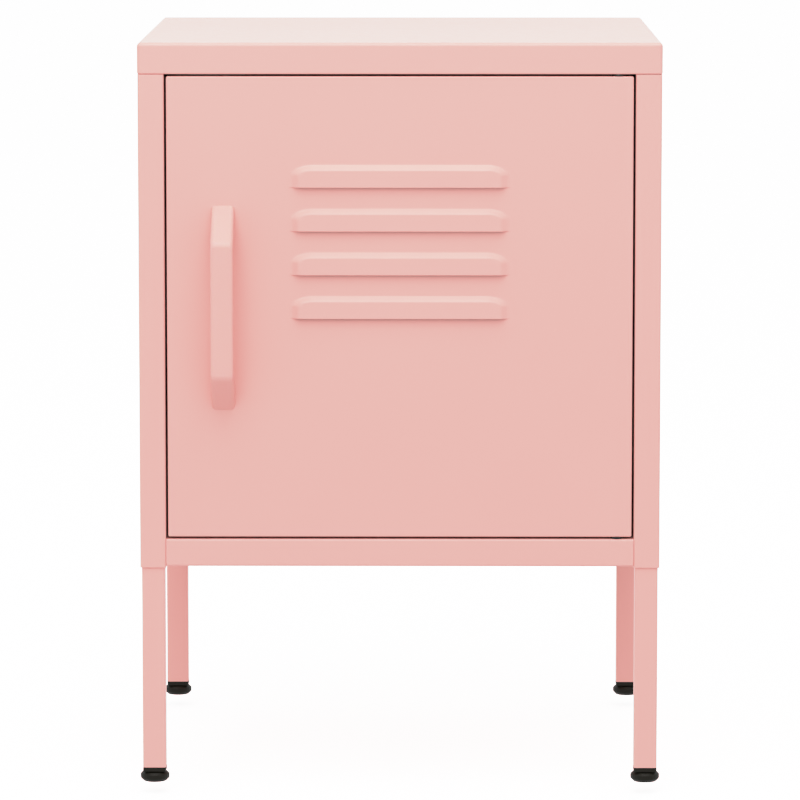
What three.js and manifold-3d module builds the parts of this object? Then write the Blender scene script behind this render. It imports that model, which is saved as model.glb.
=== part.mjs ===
// Bedside locker cabinet: a folded steel box on four square legs, with one louvred door.
// Millimetres, +X to the right of someone facing the door, +Y to the back, +Z up.
// The origin is on the floor, under the middle of the whole object, handle included.
import * as THREE from "three";
import { mergeVertices } from "three/addons/utils/BufferGeometryUtils.js";
import Module from "manifold-3d";

const wasm = await Module();
wasm.setup();

// ---------------------------------------------------------------- driving dimensions

// The whole cabinet, over the lid and down to the floor
const WIDTH = 350;
const DEPTH = 350;
const HEIGHT = 500;

// Sheet steel
const SHEET = 0.8; // thickness of every folded panel
const BEND = 0.6; // radius inside a fold
const SEAM = 0.2; // gap where one sheet lies on another
const SLIP = 0.3; // gap beside a piece that slides into place
const SEAT_GAP = 0.05; // gap under a screw's head, or behind a fitting, that is done up tight
const PAN_CORNER = 0.2; // how much rounder a pan's corners are than its folds
const PAST = 1; // how far a cut runs past the surface that it opens

// Lid: a pan turned over the carcass, with its rim folded inwards
const LID_SKIRT = 20.9;
const LID_PROUD = 0.3; // how far it stands out past the carcass on each side
const LID_RIM = 15;
const LID_FRONT_RIM = 32; // wider, to carry the hinge pin and the catch
const LID_BEND = 1.6; // a softer fold round the lid's top

// Side panels: each one folds into a square post at the front and at the back
const POST = 17.5;
const FLANGE = 15; // folded inwards along the top and bottom edges
const POST_SLIT = 1.2; // where the post's last fold stops short of the side wall

// Floor tray, whose front skirt is the rail under the door
const RAIL = 18.6;
const TRAY_RIM = 12;

// Legs: square tubes that slide up into the posts
const LEG_SHOWING = 137;
const LEG_IN_POST = 63;
const LEG_CLEARANCE = 0.2;
const LEG_WALL = 1;
const LEG_CORNER = 1.5;

// Levelling feet: a plug in the leg, a threaded stud and a round pad
const COLLAR = 3.2;
const PLUG_LENGTH = 14;
const PAD_RADIUS = 9.75;
const PAD_GAP = 0.4; // between the collar and the pad when it is screwed right up
const PAD_HEIGHT = 6.4;
const PAD_LOWER_EDGE = 2; // radius of the pad's rounded edges
const PAD_UPPER_EDGE = 2.2;
const PAD_SOCKET_FLOOR = 1.5;
const STUD_RADIUS = 3;
const STUD_LENGTH = 20.5;
const STUD_GAP = 0.1; // between the stud's end and the bottom of its socket
const THREAD_CLEARANCE = 0.15; // round any thread in moulded plastic

// Door
const DOOR_GAP = 1.45;
const DOOR_BEND = 0.2; // a crisper fold than the others
const DOOR_THICKNESS = 16;
const DOOR_RIM = 10;

// Louvres pressed out of the door
const LOUVRES = 4;
const LOUVRE_WIDTH = 145;
const LOUVRE_HEIGHT = 15.5;
const LOUVRE_PITCH = 29.3;
const LOUVRE_DEPTH = 3.2;
const LOUVRE_SHOULDER = 4.4;
const LOUVRE_CORNER = 10;
const LOUVRES_BELOW_TOP = 58.6; // from the door's top edge to the first louvre
const SLOT_DROP = 0.3; // how far the opening reaches below a louvre's lip

// Hinge pins and the nylon bushes that turn on them
const PIN_RADIUS = 2;
const PIN_REACH = 7; // into the door
const PIN_HEAD_RADIUS = 2.7;
const PIN_HEAD = 1;
const PIVOT_INSET = 10; // in from the door's edge
const BUSH_RADIUS = 3.15;
const BUSH_FLANGE_RADIUS = 4;
const BUSH_LENGTH = 8;
const RUNNING_CLEARANCE = 0.1;
const PIN_HEAD_CLEARANCE = 0.1; // to the inside of the fold beside it
const BUSH_CLEARANCE = 0.25; // to the back of the door's face
const HINGE_SEAT = 0.02; // gap where a pin's head or a bush bears on sheet
const UPPER_BUSH_SLACK = 0.3; // between the upper bush and the lid

// Bow handle
const HANDLE_WIDTH = 15.2;
const HANDLE_LENGTH = 137.5;
const HANDLE_FLAT = 90.5; // the straight front
const HANDLE_REACH = 27;
const HANDLE_THICKNESS = 7.2;
const HANDLE_FOOT = 17;
const HANDLE_EDGE = 1.6; // rounding along its length
const HANDLE_BEND = 9;
const HANDLE_INSET = 37.6; // from the door's free edge to the handle's middle
const HANDLE_SCREW_DEPTH = 8;
const HANDLE_BORE_SPARE = 0.6; // past the screw's tip

// Magnetic catch under the lid's front rim
const CATCH_WIDTH = 28;
const CATCH_DEPTH = 12;
const CATCH_EAR = 9;
const CATCH_EAR_THICKNESS = 3;
const CATCH_EAR_INSET = 1; // in from the housing's front and back
const CATCH_WALL = 2.8;
const CATCH_INSET = 29; // from the door's free edge to the catch's middle
const POLE_THICKNESS = 1.2;
const POLE_PROUD = 0.3;
const MAGNET_THICKNESS = 4.6;
const MAGNET_SET_BACK = 0.5;
const CATCH_AIR = 0.15; // gap around each piece inside the housing

// Pan-head screws
const SCREW_RADIUS = 2;
const SCREW_HEAD_RADIUS = 3.6;
const SCREW_HEAD = 2.2;
const SCREW_HEAD_ROUND = 1.3; // radius of the head's edge
const SCREW_LENGTH = 7;
const SCREW_TIP = 0.6;
const SCREW_SIDES = 12;
const SCREW_HOLE_CLEARANCE = 0.3;
const LEG_SCREW_ABOVE_FLOOR = 12;
const LEG_SCREW_BELOW_LEG_TOP = 10;
const FLANGE_SCREW_INSET = 8.25; // in from the cabinet's side
const LID_SCREW_SPREAD = 112; // to the front and to the back of the middle
const FLOOR_SCREW_SPREAD = 84;
const BACK_SCREW_ABOVE_LEG = 20;
const BACK_SCREW_BELOW_TOP = 28;

// ---------------------------------------------------------------- places worked out from them

const BODY_X = WIDTH / 2 - LID_PROUD; // outer face of a side panel
const BODY_FRONT = -DEPTH / 2 + LID_PROUD;
const BODY_BACK = DEPTH / 2 - LID_PROUD; // outer face of the back panel
const POSTS_BACK = BODY_BACK - SHEET - SEAM; // back face of the rear posts
const OPENING_X = BODY_X - POST;

const PAD_TOP = PAD_HEIGHT;
const COLLAR_BOTTOM = PAD_TOP + PAD_GAP;
const LEG_BOTTOM = COLLAR_BOTTOM + COLLAR;
const BODY_BOTTOM = LEG_BOTTOM + LEG_SHOWING;
const LEG_TOP = BODY_BOTTOM + LEG_IN_POST;
const LID_BOTTOM = HEIGHT - LID_SKIRT;
const BODY_TOP = LID_BOTTOM - SEAM;
const TRAY_BOTTOM = BODY_BOTTOM + SHEET + SEAM;
const FLOOR = TRAY_BOTTOM + RAIL;

const LEG = POST - 2 * SHEET - 2 * LEG_CLEARANCE;
const LEG_X = BODY_X - POST / 2;
const FRONT_LEG_Y = BODY_FRONT + POST / 2;
const REAR_LEG_Y = POSTS_BACK - POST / 2;

const DOOR_X = OPENING_X - DOOR_GAP; // half the door's width
const DOOR_BOTTOM = FLOOR + DOOR_GAP;
const DOOR_TOP = LID_BOTTOM - DOOR_GAP;
const DOOR_MIDDLE = (DOOR_BOTTOM + DOOR_TOP) / 2;
const DOOR_BACK = BODY_FRONT + DOOR_THICKNESS;

const PIVOT_X = DOOR_X - PIVOT_INSET;
const PIN_HEAD_ROOM = BEND + PIN_HEAD_RADIUS + PIN_HEAD_CLEARANCE;
const PIVOT_Y = BODY_FRONT + SHEET + Math.max(PIN_HEAD_ROOM, BUSH_RADIUS + BUSH_CLEARANCE);
const HANDLE_X = -DOOR_X + HANDLE_INSET;
const HANDLE_SCREW_UP = (HANDLE_LENGTH - HANDLE_FOOT) / 2;
const CATCH_X = -DOOR_X + CATCH_INSET;

// ---------------------------------------------------------------- colours

const finish = (color, roughness, metalness) =>
  new THREE.MeshStandardMaterial({ color, roughness, metalness });
const pinkPaint = finish(0xebbfb9, 0.45, 0);
const pinkPlastic = finish(0xebbfb9, 0.4, 0);
const blackPlastic = finish(0x262321, 0.6, 0);
const zincSteel = finish(0xb9bcc0, 0.35, 1);
const whiteNylon = finish(0xece9e1, 0.5, 0);
const greyPlastic = finish(0xd9d6d0, 0.5, 0);
const ferrite = finish(0x3a3a3c, 0.7, 0);

// ---------------------------------------------------------------- solids and meshes

function solidOf(geometry) {
  const bare = geometry.clone();
  bare.deleteAttribute("normal");
  bare.deleteAttribute("uv");
  const merged = mergeVertices(bare, 1e-4);
  const mesh = new wasm.Mesh({
    numProp: 3,
    vertProperties: merged.attributes.position.array,
    triVerts: new Uint32Array(merged.index.array),
  });
  mesh.merge();
  return new wasm.Manifold(mesh);
}

function geometryOf(solid) {
  const mesh = solid.getMesh();
  const corners = new Float32Array(mesh.numVert * 3);
  for (let i = 0; i < mesh.numVert; i++)
    corners.set(mesh.vertProperties.subarray(i * mesh.numProp, i * mesh.numProp + 3), i * 3);
  const geometry = new THREE.BufferGeometry();
  geometry.setAttribute("position", new THREE.BufferAttribute(corners, 3));
  geometry.setIndex(new THREE.BufferAttribute(mesh.triVerts, 1));
  return geometry;
}

// Joins the first solid with each of the joins, then takes each of the cuts away.
function assemble(first, joins = [], cuts = []) {
  const joined = joins.reduce((whole, piece) => whole.add(piece), first);
  return cuts.reduce((whole, piece) => whole.subtract(piece), joined);
}

function piece(name, solidOrGeometry, material) {
  const geometry = solidOrGeometry.isBufferGeometry ? solidOrGeometry : geometryOf(solidOrGeometry);
  const mesh = new THREE.Mesh(geometry, material);
  mesh.name = name;
  return mesh;
}

// ---------------------------------------------------------------- shapes

const X = new THREE.Vector3(1, 0, 0);
const Y = new THREE.Vector3(0, 1, 0);
const Z = new THREE.Vector3(0, 0, 1);
const leftOf = (v) => new THREE.Vector2(-v.y, v.x);

// The points of a quarter circle in a turned profile, from straight below its centre to beside it
// when the edge is a lower one, and from beside it to straight above when it is an upper one.
function roundedEdge(radius, centreR, centreY, upper, steps = 3) {
  return Array.from({ length: steps + 1 }, (_, k) => {
    const angle = ((upper ? k : k - steps) / steps) * (Math.PI / 2);
    return [centreR + radius * Math.cos(angle), centreY + radius * Math.sin(angle)];
  });
}

function box(xs, ys, zs) {
  const size = [xs, ys, zs].map(([a, b]) => Math.abs(b - a));
  const middle = [xs, ys, zs].map(([a, b]) => (a + b) / 2);
  return solidOf(new THREE.BoxGeometry(...size).translate(...middle));
}

// A round bar from one point to another along an axis.
function bar(radius, from, to, sides = 24) {
  const length = from.distanceTo(to);
  const turned = new THREE.Quaternion().setFromUnitVectors(Y, to.clone().sub(from).normalize());
  const middle = from.clone().add(to).multiplyScalar(0.5);
  const cylinder = new THREE.CylinderGeometry(radius, radius, length, sides);
  return cylinder.applyQuaternion(turned).translate(middle.x, middle.y, middle.z);
}

const drill = (radius, from, to, sides) => solidOf(bar(radius, from, to, sides));

// The outline of a strip of sheet folded at each corner of a line, with its folds rounded.
function foldedStrip(line, thickness, insideRadius, arcSteps = 3) {
  const corners = line.map(([x, y]) => new THREE.Vector2(x, y));
  const radius = insideRadius + thickness / 2;
  const stations = [];
  corners.forEach((corner, i) => {
    const before = corners[i - 1];
    const after = corners[i + 1];
    if (!before || !after) {
      const along = before ? corner.clone().sub(before) : after.clone().sub(corner);
      stations.push({ point: corner, normal: leftOf(along.normalize()) });
      return;
    }
    const arriving = corner.clone().sub(before).normalize();
    const leaving = after.clone().sub(corner).normalize();
    const turn = Math.atan2(arriving.cross(leaving), arriving.dot(leaving));
    const reach = radius * Math.tan(Math.abs(turn) / 2);
    const side = Math.sign(turn);
    const start = corner.clone().addScaledVector(arriving, -reach);
    const centre = start.addScaledVector(leftOf(arriving), side * radius);
    for (let k = 0; k <= arcSteps; k++) {
      const normal = leftOf(arriving).rotateAround(new THREE.Vector2(), (turn * k) / arcSteps);
      stations.push({ point: centre.clone().addScaledVector(normal, -side * radius), normal });
    }
  });
  const edge = (offset) =>
    stations.map(({ point, normal }) => point.clone().addScaledVector(normal, offset));
  return new THREE.Shape([...edge(thickness / 2), ...edge(-thickness / 2).reverse()]);
}

// A polygon whose corners are rounded, each by its own radius.
function roundedPolygon(corners, arcSteps = 4) {
  const points = corners.map(([x, y]) => new THREE.Vector2(x, y));
  const outline = [];
  points.forEach((corner, i) => {
    const radius = corners[i][2] || 0;
    if (!radius) {
      outline.push(corner);
      return;
    }
    const before = points[(i + points.length - 1) % points.length];
    const after = points[(i + 1) % points.length];
    const arriving = corner.clone().sub(before).normalize();
    const leaving = after.clone().sub(corner).normalize();
    const turn = Math.atan2(arriving.cross(leaving), arriving.dot(leaving));
    const side = Math.sign(turn);
    const start = corner.clone().addScaledVector(arriving, -radius * Math.tan(Math.abs(turn) / 2));
    const centre = start.clone().addScaledVector(leftOf(arriving), side * radius);
    for (let k = 0; k <= arcSteps; k++)
      outline.push(start.clone().rotateAround(centre, (turn * k) / arcSteps));
  });
  return new THREE.Shape(outline);
}

const rectangle = (halfX, halfY, radius) =>
  roundedPolygon([
    [-halfX, -halfY, radius],
    [halfX, -halfY, radius],
    [halfX, halfY, radius],
    [-halfX, halfY, radius],
  ]);

// Extrudes a shape. Its own x and y run along the two axes given, and it grows along the third.
function extrude(shape, length, [across, up, along], origin, bevel = {}) {
  const geometry = new THREE.ExtrudeGeometry(shape, {
    depth: length,
    bevelEnabled: false,
    curveSegments: 6,
    ...bevel,
  });
  const frame = new THREE.Matrix4().makeBasis(across, up, along).setPosition(origin);
  return geometry.applyMatrix4(frame);
}

// A box with rounded upright corners and with one face's edges rounded, as a folded pan has.
// The face looks along the third axis, which grows towards it from the origin.
function panBlock(halfX, halfY, height, edge, axes, origin) {
  const inside = rectangle(halfX, halfY, edge + PAN_CORNER);
  const rounding = {
    bevelEnabled: true,
    bevelThickness: edge,
    bevelSize: edge,
    bevelOffset: -edge,
    bevelSegments: 3,
  };
  const spare = 2 * edge;
  const along = axes[2];
  const start = origin.clone().addScaledVector(along, -spare);
  const whole = extrude(inside, height + spare - edge, axes, start, rounding);
  const cutStart = origin.clone().addScaledVector(along, -2 * spare);
  const behind = extrude(rectangle(halfX + PAST, halfY + PAST, 0), 2 * spare, axes, cutStart);
  return solidOf(whole).subtract(solidOf(behind));
}

// ---------------------------------------------------------------- screws

// A pan-head screw. Its head sits on the point, and its shank runs along the direction.
function screw(name, seat, direction, length = SCREW_LENGTH) {
  const edgeRadius = SCREW_HEAD_RADIUS - SCREW_HEAD_ROUND;
  const profile = [
    [0, -SCREW_HEAD],
    ...roundedEdge(SCREW_HEAD_ROUND, edgeRadius, SCREW_HEAD_ROUND - SCREW_HEAD, false),
    [SCREW_HEAD_RADIUS, 0],
    [SCREW_RADIUS, 0],
    [SCREW_RADIUS, length - SCREW_TIP],
    [SCREW_RADIUS - SCREW_TIP, length],
    [0, length],
  ].map(([r, y]) => new THREE.Vector2(r, y));
  const geometry = new THREE.LatheGeometry(profile, SCREW_SIDES);
  const turned = new THREE.Quaternion().setFromUnitVectors(Y, direction);
  const mesh = piece(name, geometry.applyQuaternion(turned), zincSteel);
  mesh.position.copy(seat);
  return mesh;
}

const screwHole = (seat, direction, reach = SCREW_LENGTH) =>
  drill(
    SCREW_RADIUS + SCREW_HOLE_CLEARANCE,
    seat.clone().addScaledVector(direction, -PAST),
    seat.clone().addScaledVector(direction, reach),
    SCREW_SIDES,
  );

const at = (x, y, z) => new THREE.Vector3(x, y, z);
const DOWN = Z.clone().negate();
const FORWARD = Y.clone().negate();

// Where each group of screws sits: the point under the head and the way the shank goes.
const SIDES = [
  ["left", -1],
  ["right", 1],
];
const ENDS = [
  ["front", FRONT_LEG_Y, BODY_FRONT + POST, FORWARD],
  ["rear", REAR_LEG_Y, POSTS_BACK - POST, Y],
];

const legScrews = [];
const LEG_SCREW_HEIGHTS = [FLOOR + LEG_SCREW_ABOVE_FLOOR, LEG_TOP - LEG_SCREW_BELOW_LEG_TOP];
for (const [sideName, side] of SIDES)
  for (const [endName, , postWall, into] of ENDS)
    LEG_SCREW_HEIGHTS.forEach((height, i) => {
      const seat = at(side * LEG_X, postWall, height);
      seat.addScaledVector(into, -SEAT_GAP);
      legScrews.push({
        name: `${endName}_${sideName}_leg_screw_${i + 1}`,
        seat,
        direction: into,
        side,
        end: endName,
      });
    });

const FLANGE_SCREW_X = BODY_X - FLANGE_SCREW_INSET;
const flangeScrews = (label, z, direction, spread) =>
  SIDES.flatMap(([sideName, side]) =>
    [-1, 1].map((end) => ({
      name: `${label}_screw_${end < 0 ? "front" : "rear"}_${sideName}`,
      seat: at(side * FLANGE_SCREW_X, end * spread, z),
      direction,
      side,
    })),
  );
const lidScrews = flangeScrews("lid", BODY_TOP - SHEET - SEAT_GAP, Z, LID_SCREW_SPREAD);
const trayScrews = flangeScrews("floor", BODY_BOTTOM - SEAT_GAP, Z, FLOOR_SCREW_SPREAD);

const BACK_SCREW_LOW = LEG_TOP + BACK_SCREW_ABOVE_LEG;
const BACK_SCREW_HIGH = BODY_TOP - BACK_SCREW_BELOW_TOP;
const BACK_SCREW_HEIGHTS = [BACK_SCREW_LOW, (BACK_SCREW_LOW + BACK_SCREW_HIGH) / 2, BACK_SCREW_HIGH];
const backScrews = SIDES.flatMap(([sideName, side]) =>
  BACK_SCREW_HEIGHTS.map((height, i) => ({
    name: `back_screw_${sideName}_${i + 1}`,
    seat: at(side * LEG_X, BODY_BACK + SEAT_GAP, height),
    direction: FORWARD,
    side,
  })),
);

const HANDLE_SCREW_SEAT = BODY_FRONT + SHEET + SEAT_GAP;
const handleScrews = [
  ["upper", 1],
  ["lower", -1],
].map(([label, up]) => ({
  name: `handle_screw_${label}`,
  seat: at(HANDLE_X, HANDLE_SCREW_SEAT, DOOR_MIDDLE + up * HANDLE_SCREW_UP),
  direction: FORWARD,
}));

const holesFor = (screws, side) =>
  screws
    .filter((s) => side === undefined || s.side === side)
    .map((s) => screwHole(s.seat, s.direction));

// A round hole on the door's pivot, through the sheet between two heights.
const pivotHole = (radius, low, high) =>
  drill(radius, at(PIVOT_X, PIVOT_Y, low - PAST), at(PIVOT_X, PIVOT_Y, high + PAST));

// ---------------------------------------------------------------- carcass panels

function sidePanel(name, side) {
  const half = SHEET / 2;
  const plan = [
    [BODY_X - SHEET - POST_SLIT, BODY_FRONT + POST - half],
    [BODY_X - POST + half, BODY_FRONT + POST - half],
    [BODY_X - POST + half, BODY_FRONT + half],
    [BODY_X - half, BODY_FRONT + half],
    [BODY_X - half, POSTS_BACK - half],
    [BODY_X - POST + half, POSTS_BACK - half],
    [BODY_X - POST + half, POSTS_BACK - POST + half],
    [BODY_X - SHEET - POST_SLIT, POSTS_BACK - POST + half],
  ].map(([x, y]) => [side * x, y]);
  const outline = foldedStrip(plan, SHEET, BEND);
  const wall = extrude(outline, BODY_TOP - BODY_BOTTOM, [X, Y, Z], at(0, 0, BODY_BOTTOM));
  const flange = (z) =>
    box(
      [side * (BODY_X - half), side * (BODY_X - FLANGE)],
      [BODY_FRONT + POST + SLIP, POSTS_BACK - POST - SLIP],
      [z, z + SHEET],
    );
  const flanges = [flange(BODY_BOTTOM), flange(BODY_TOP - SHEET)];
  const holes = holesFor([...legScrews, ...lidScrews, ...trayScrews, ...backScrews], side);
  return piece(name, assemble(solidOf(wall), flanges, holes), pinkPaint);
}

function backPanel() {
  const half = SHEET / 2;
  const inner = OPENING_X - SLIP;
  const flangeEdge = BODY_BACK - FLANGE;
  const side = [
    [flangeEdge, BODY_BOTTOM + half],
    [BODY_BACK - half, BODY_BOTTOM + half],
    [BODY_BACK - half, BODY_TOP - half],
    [flangeEdge, BODY_TOP - half],
  ];
  const folded = extrude(foldedStrip(side, SHEET, BEND), 2 * inner, [Y, Z, X], at(-inner, 0, 0));
  const lap = box(
    [-BODY_X, BODY_X],
    [BODY_BACK - SHEET, BODY_BACK],
    [BODY_BOTTOM + SHEET + BEND, BODY_TOP - SHEET - BEND],
  );
  return piece("back_panel", assemble(solidOf(folded), [lap], holesFor(backScrews)), pinkPaint);
}

function floorTray() {
  const half = SHEET / 2;
  const low = TRAY_BOTTOM + half;
  const high = FLOOR - half;
  // One fold line for front to back and one for side to side, each stopping at the posts.
  const section = (from, to) => [
    [from + TRAY_RIM, low],
    [from + half, low],
    [from + half, high],
    [to - half, high],
    [to - half, low],
    [to - TRAY_RIM, low],
  ];
  const back = BODY_BACK - SHEET - SLIP;
  const between = OPENING_X - SLIP;
  const lengthways = extrude(
    foldedStrip(section(BODY_FRONT, back), SHEET, BEND),
    2 * between,
    [Y, Z, X],
    at(-between, 0, 0),
  );
  const sideWall = BODY_X - SHEET - SLIP;
  const frontStop = BODY_FRONT + POST + SLIP;
  const backStop = POSTS_BACK - POST - SLIP;
  // Drawn with its own x along -X so that the three axes stay right-handed.
  const sideways = extrude(
    foldedStrip(section(-sideWall, sideWall), SHEET, BEND),
    backStop - frontStop,
    [X.clone().negate(), Z, Y],
    at(0, frontStop, 0),
  );
  const pinHole = pivotHole(PIN_RADIUS + RUNNING_CLEARANCE, FLOOR - SHEET, FLOOR);
  const cuts = [...holesFor(trayScrews), pinHole];
  return piece("floor_tray", assemble(solidOf(lengthways), [solidOf(sideways)], cuts), pinkPaint);
}

function lid() {
  const halfX = WIDTH / 2;
  const halfY = DEPTH / 2;
  const outer = panBlock(halfX, halfY, LID_SKIRT, LID_BEND + SHEET, [X, Y, Z], at(0, 0, LID_BOTTOM));
  const hollow = panBlock(
    halfX - SHEET,
    halfY - SHEET,
    LID_SKIRT - 2 * SHEET,
    LID_BEND,
    [X, Y, Z],
    at(0, 0, LID_BOTTOM + SHEET),
  );
  const mouth = box(
    [-halfX + LID_RIM, halfX - LID_RIM],
    [-halfY + LID_FRONT_RIM, halfY - LID_RIM],
    [LID_BOTTOM - PAST, LID_BOTTOM + SHEET + PAST],
  );
  const pinHole = pivotHole(PIN_RADIUS + RUNNING_CLEARANCE, LID_BOTTOM, LID_BOTTOM + SHEET);
  const cuts = [hollow, mouth, pinHole, ...holesFor(lidScrews), ...holesFor(catchScrews)];
  return piece("lid", assemble(outer, [], cuts), pinkPaint);
}

// ---------------------------------------------------------------- legs and feet

function leg(name, x, y, screws) {
  const half = LEG / 2;
  const section = rectangle(half, half, LEG_CORNER);
  section.holes.push(rectangle(half - LEG_WALL, half - LEG_WALL, LEG_CORNER - LEG_WALL));
  const tube = extrude(section, LEG_TOP - LEG_BOTTOM, [X, Y, Z], at(x, y, LEG_BOTTOM));
  return piece(name, assemble(solidOf(tube), [], holesFor(screws)), pinkPaint);
}

function plug(name, x, y) {
  const half = LEG / 2;
  const collar = extrude(
    rectangle(half, half, LEG_CORNER),
    COLLAR - SEAT_GAP,
    [X, Y, Z],
    at(x, y, COLLAR_BOTTOM),
  );
  const stemHalf = half - LEG_WALL - LEG_CLEARANCE;
  const stem = extrude(
    rectangle(stemHalf, stemHalf, LEG_CORNER),
    COLLAR + PLUG_LENGTH,
    [X, Y, Z],
    at(x, y, COLLAR_BOTTOM),
  );
  const thread = drill(
    STUD_RADIUS + THREAD_CLEARANCE,
    at(x, y, COLLAR_BOTTOM - PAST),
    at(x, y, LEG_BOTTOM + PLUG_LENGTH + PAST),
  );
  return piece(name, assemble(solidOf(collar), [solidOf(stem)], [thread]), blackPlastic);
}

function stud(name, x, y) {
  const foot = at(x, y, PAD_SOCKET_FLOOR + STUD_GAP);
  return piece(name, bar(STUD_RADIUS, foot, at(x, y, foot.z + STUD_LENGTH)), zincSteel);
}

function pad(name, x, y) {
  const socket = STUD_RADIUS + THREAD_CLEARANCE;
  const profile = [
    [0, 0],
    ...roundedEdge(PAD_LOWER_EDGE, PAD_RADIUS - PAD_LOWER_EDGE, PAD_LOWER_EDGE, false),
    ...roundedEdge(PAD_UPPER_EDGE, PAD_RADIUS - PAD_UPPER_EDGE, PAD_TOP - PAD_UPPER_EDGE, true),
    [socket, PAD_TOP],
    [socket, PAD_SOCKET_FLOOR],
    [0, PAD_SOCKET_FLOOR],
  ].map(([r, z]) => new THREE.Vector2(r, z));
  const geometry = new THREE.LatheGeometry(profile, 24).rotateX(Math.PI / 2);
  const mesh = piece(name, geometry, blackPlastic);
  mesh.position.set(x, y, 0);
  return mesh;
}

// ---------------------------------------------------------------- door

const TOWARDS_VIEWER = [X, Z, FORWARD];

// A louvre's form, standing out of the door's face. It is drawn larger than the opening below,
// and smaller by an inset when it is the hollow that the sheet wraps round.
function louvreForm(lip, inset, depth, low) {
  const halfWidth = LOUVRE_WIDTH / 2 - inset;
  const top = LOUVRE_HEIGHT - inset;
  const corner = LOUVRE_CORNER - inset;
  const skirt = 3 * LOUVRE_SHOULDER;
  const outline = roundedPolygon([
    [-halfWidth, -skirt],
    [halfWidth, -skirt],
    [halfWidth, top, corner],
    [-halfWidth, top, corner],
  ]);
  const straight = SHEET + PAST;
  const shoulder = {
    bevelEnabled: true,
    bevelThickness: depth,
    bevelSize: LOUVRE_SHOULDER - inset,
    bevelOffset: inset - LOUVRE_SHOULDER,
    bevelSegments: 3,
  };
  const start = at(0, BODY_FRONT + straight, lip);
  const form = solidOf(extrude(outline, straight, TOWARDS_VIEWER, start, shoulder));
  const reach = depth + straight + PAST;
  const below = box(
    [-halfWidth - PAST, halfWidth + PAST],
    [BODY_FRONT - reach, BODY_FRONT + reach],
    [lip - skirt - PAST, lip - low],
  );
  return form.subtract(below);
}

function doorPanel() {
  const halfHeight = (DOOR_TOP - DOOR_BOTTOM) / 2;
  const outer = panBlock(
    DOOR_X,
    halfHeight,
    DOOR_THICKNESS,
    DOOR_BEND + SHEET,
    TOWARDS_VIEWER,
    at(0, DOOR_BACK, DOOR_MIDDLE),
  );
  const hollow = panBlock(
    DOOR_X - SHEET,
    halfHeight - SHEET,
    DOOR_THICKNESS - 2 * SHEET,
    DOOR_BEND,
    TOWARDS_VIEWER,
    at(0, DOOR_BACK - SHEET, DOOR_MIDDLE),
  );
  const mouth = box(
    [-DOOR_X + DOOR_RIM, DOOR_X - DOOR_RIM],
    [DOOR_BACK - SHEET - PAST, DOOR_BACK + PAST],
    [DOOR_BOTTOM + DOOR_RIM, DOOR_TOP - DOOR_RIM],
  );
  const behindSkin = box([-WIDTH, WIDTH], [BODY_FRONT + SHEET / 2, 0], [0, HEIGHT]);
  const lips = Array.from(
    { length: LOUVRES },
    (_, i) => DOOR_TOP - LOUVRES_BELOW_TOP - LOUVRE_HEIGHT - i * LOUVRE_PITCH,
  );
  const bumps = lips.map((lip) => louvreForm(lip, 0, LOUVRE_DEPTH, 0).subtract(behindSkin));
  const slots = lips.map((lip) => louvreForm(lip, SHEET, LOUVRE_DEPTH - SHEET, SLOT_DROP));
  const bushHoles = [
    pivotHole(BUSH_RADIUS + RUNNING_CLEARANCE, DOOR_BOTTOM, DOOR_BOTTOM + SHEET),
    pivotHole(BUSH_RADIUS + RUNNING_CLEARANCE, DOOR_TOP - SHEET, DOOR_TOP),
  ];
  const pan = assemble(outer, [], [hollow, mouth]);
  return piece(
    "door_panel",
    assemble(pan, bumps, [...slots, ...bushHoles, ...holesFor(handleScrews)]),
    pinkPaint,
  );
}

function handle() {
  const end = HANDLE_LENGTH / 2;
  const flat = HANDLE_FLAT / 2;
  const innerReach = HANDLE_REACH - HANDLE_THICKNESS;
  const innerEnd = end - HANDLE_FOOT;
  const innerFlat = flat - HANDLE_THICKNESS;
  const profile = roundedPolygon(
    [
      [0, end],
      [-HANDLE_REACH, flat, HANDLE_BEND],
      [-HANDLE_REACH, -flat, HANDLE_BEND],
      [0, -end],
      [0, -innerEnd],
      [-innerReach, -innerFlat, HANDLE_BEND],
      [-innerReach, innerFlat, HANDLE_BEND],
      [0, innerEnd],
    ],
    5,
  );
  const edge = {
    bevelEnabled: true,
    bevelThickness: HANDLE_EDGE,
    bevelSize: HANDLE_EDGE,
    bevelOffset: -HANDLE_EDGE,
    bevelSegments: 2,
  };
  const start = at(HANDLE_X - HANDLE_WIDTH / 2 + HANDLE_EDGE, BODY_FRONT - SEAT_GAP, DOOR_MIDDLE);
  const bow = extrude(profile, HANDLE_WIDTH - 2 * HANDLE_EDGE, [Y, Z, X], start, edge);
  const bores = handleScrews.map((s) =>
    drill(
      SCREW_RADIUS + THREAD_CLEARANCE,
      s.seat.clone(),
      s.seat.clone().addScaledVector(FORWARD, SHEET + HANDLE_SCREW_DEPTH + HANDLE_BORE_SPARE),
      SCREW_SIDES,
    ),
  );
  return piece("door_handle", assemble(solidOf(bow), [], bores), pinkPlastic);
}

// ---------------------------------------------------------------- hinge

function hingePin(name, headFace, towards) {
  const head = bar(
    PIN_HEAD_RADIUS,
    at(PIVOT_X, PIVOT_Y, headFace),
    at(PIVOT_X, PIVOT_Y, headFace - towards * PIN_HEAD),
  );
  const reach = SHEET + SEAM + DOOR_GAP + PIN_REACH;
  const shank = bar(
    PIN_RADIUS,
    at(PIVOT_X, PIVOT_Y, headFace - (towards * PIN_HEAD) / 2),
    at(PIVOT_X, PIVOT_Y, headFace + towards * reach),
  );
  return piece(name, solidOf(head).add(solidOf(shank)), zincSteel);
}

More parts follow.
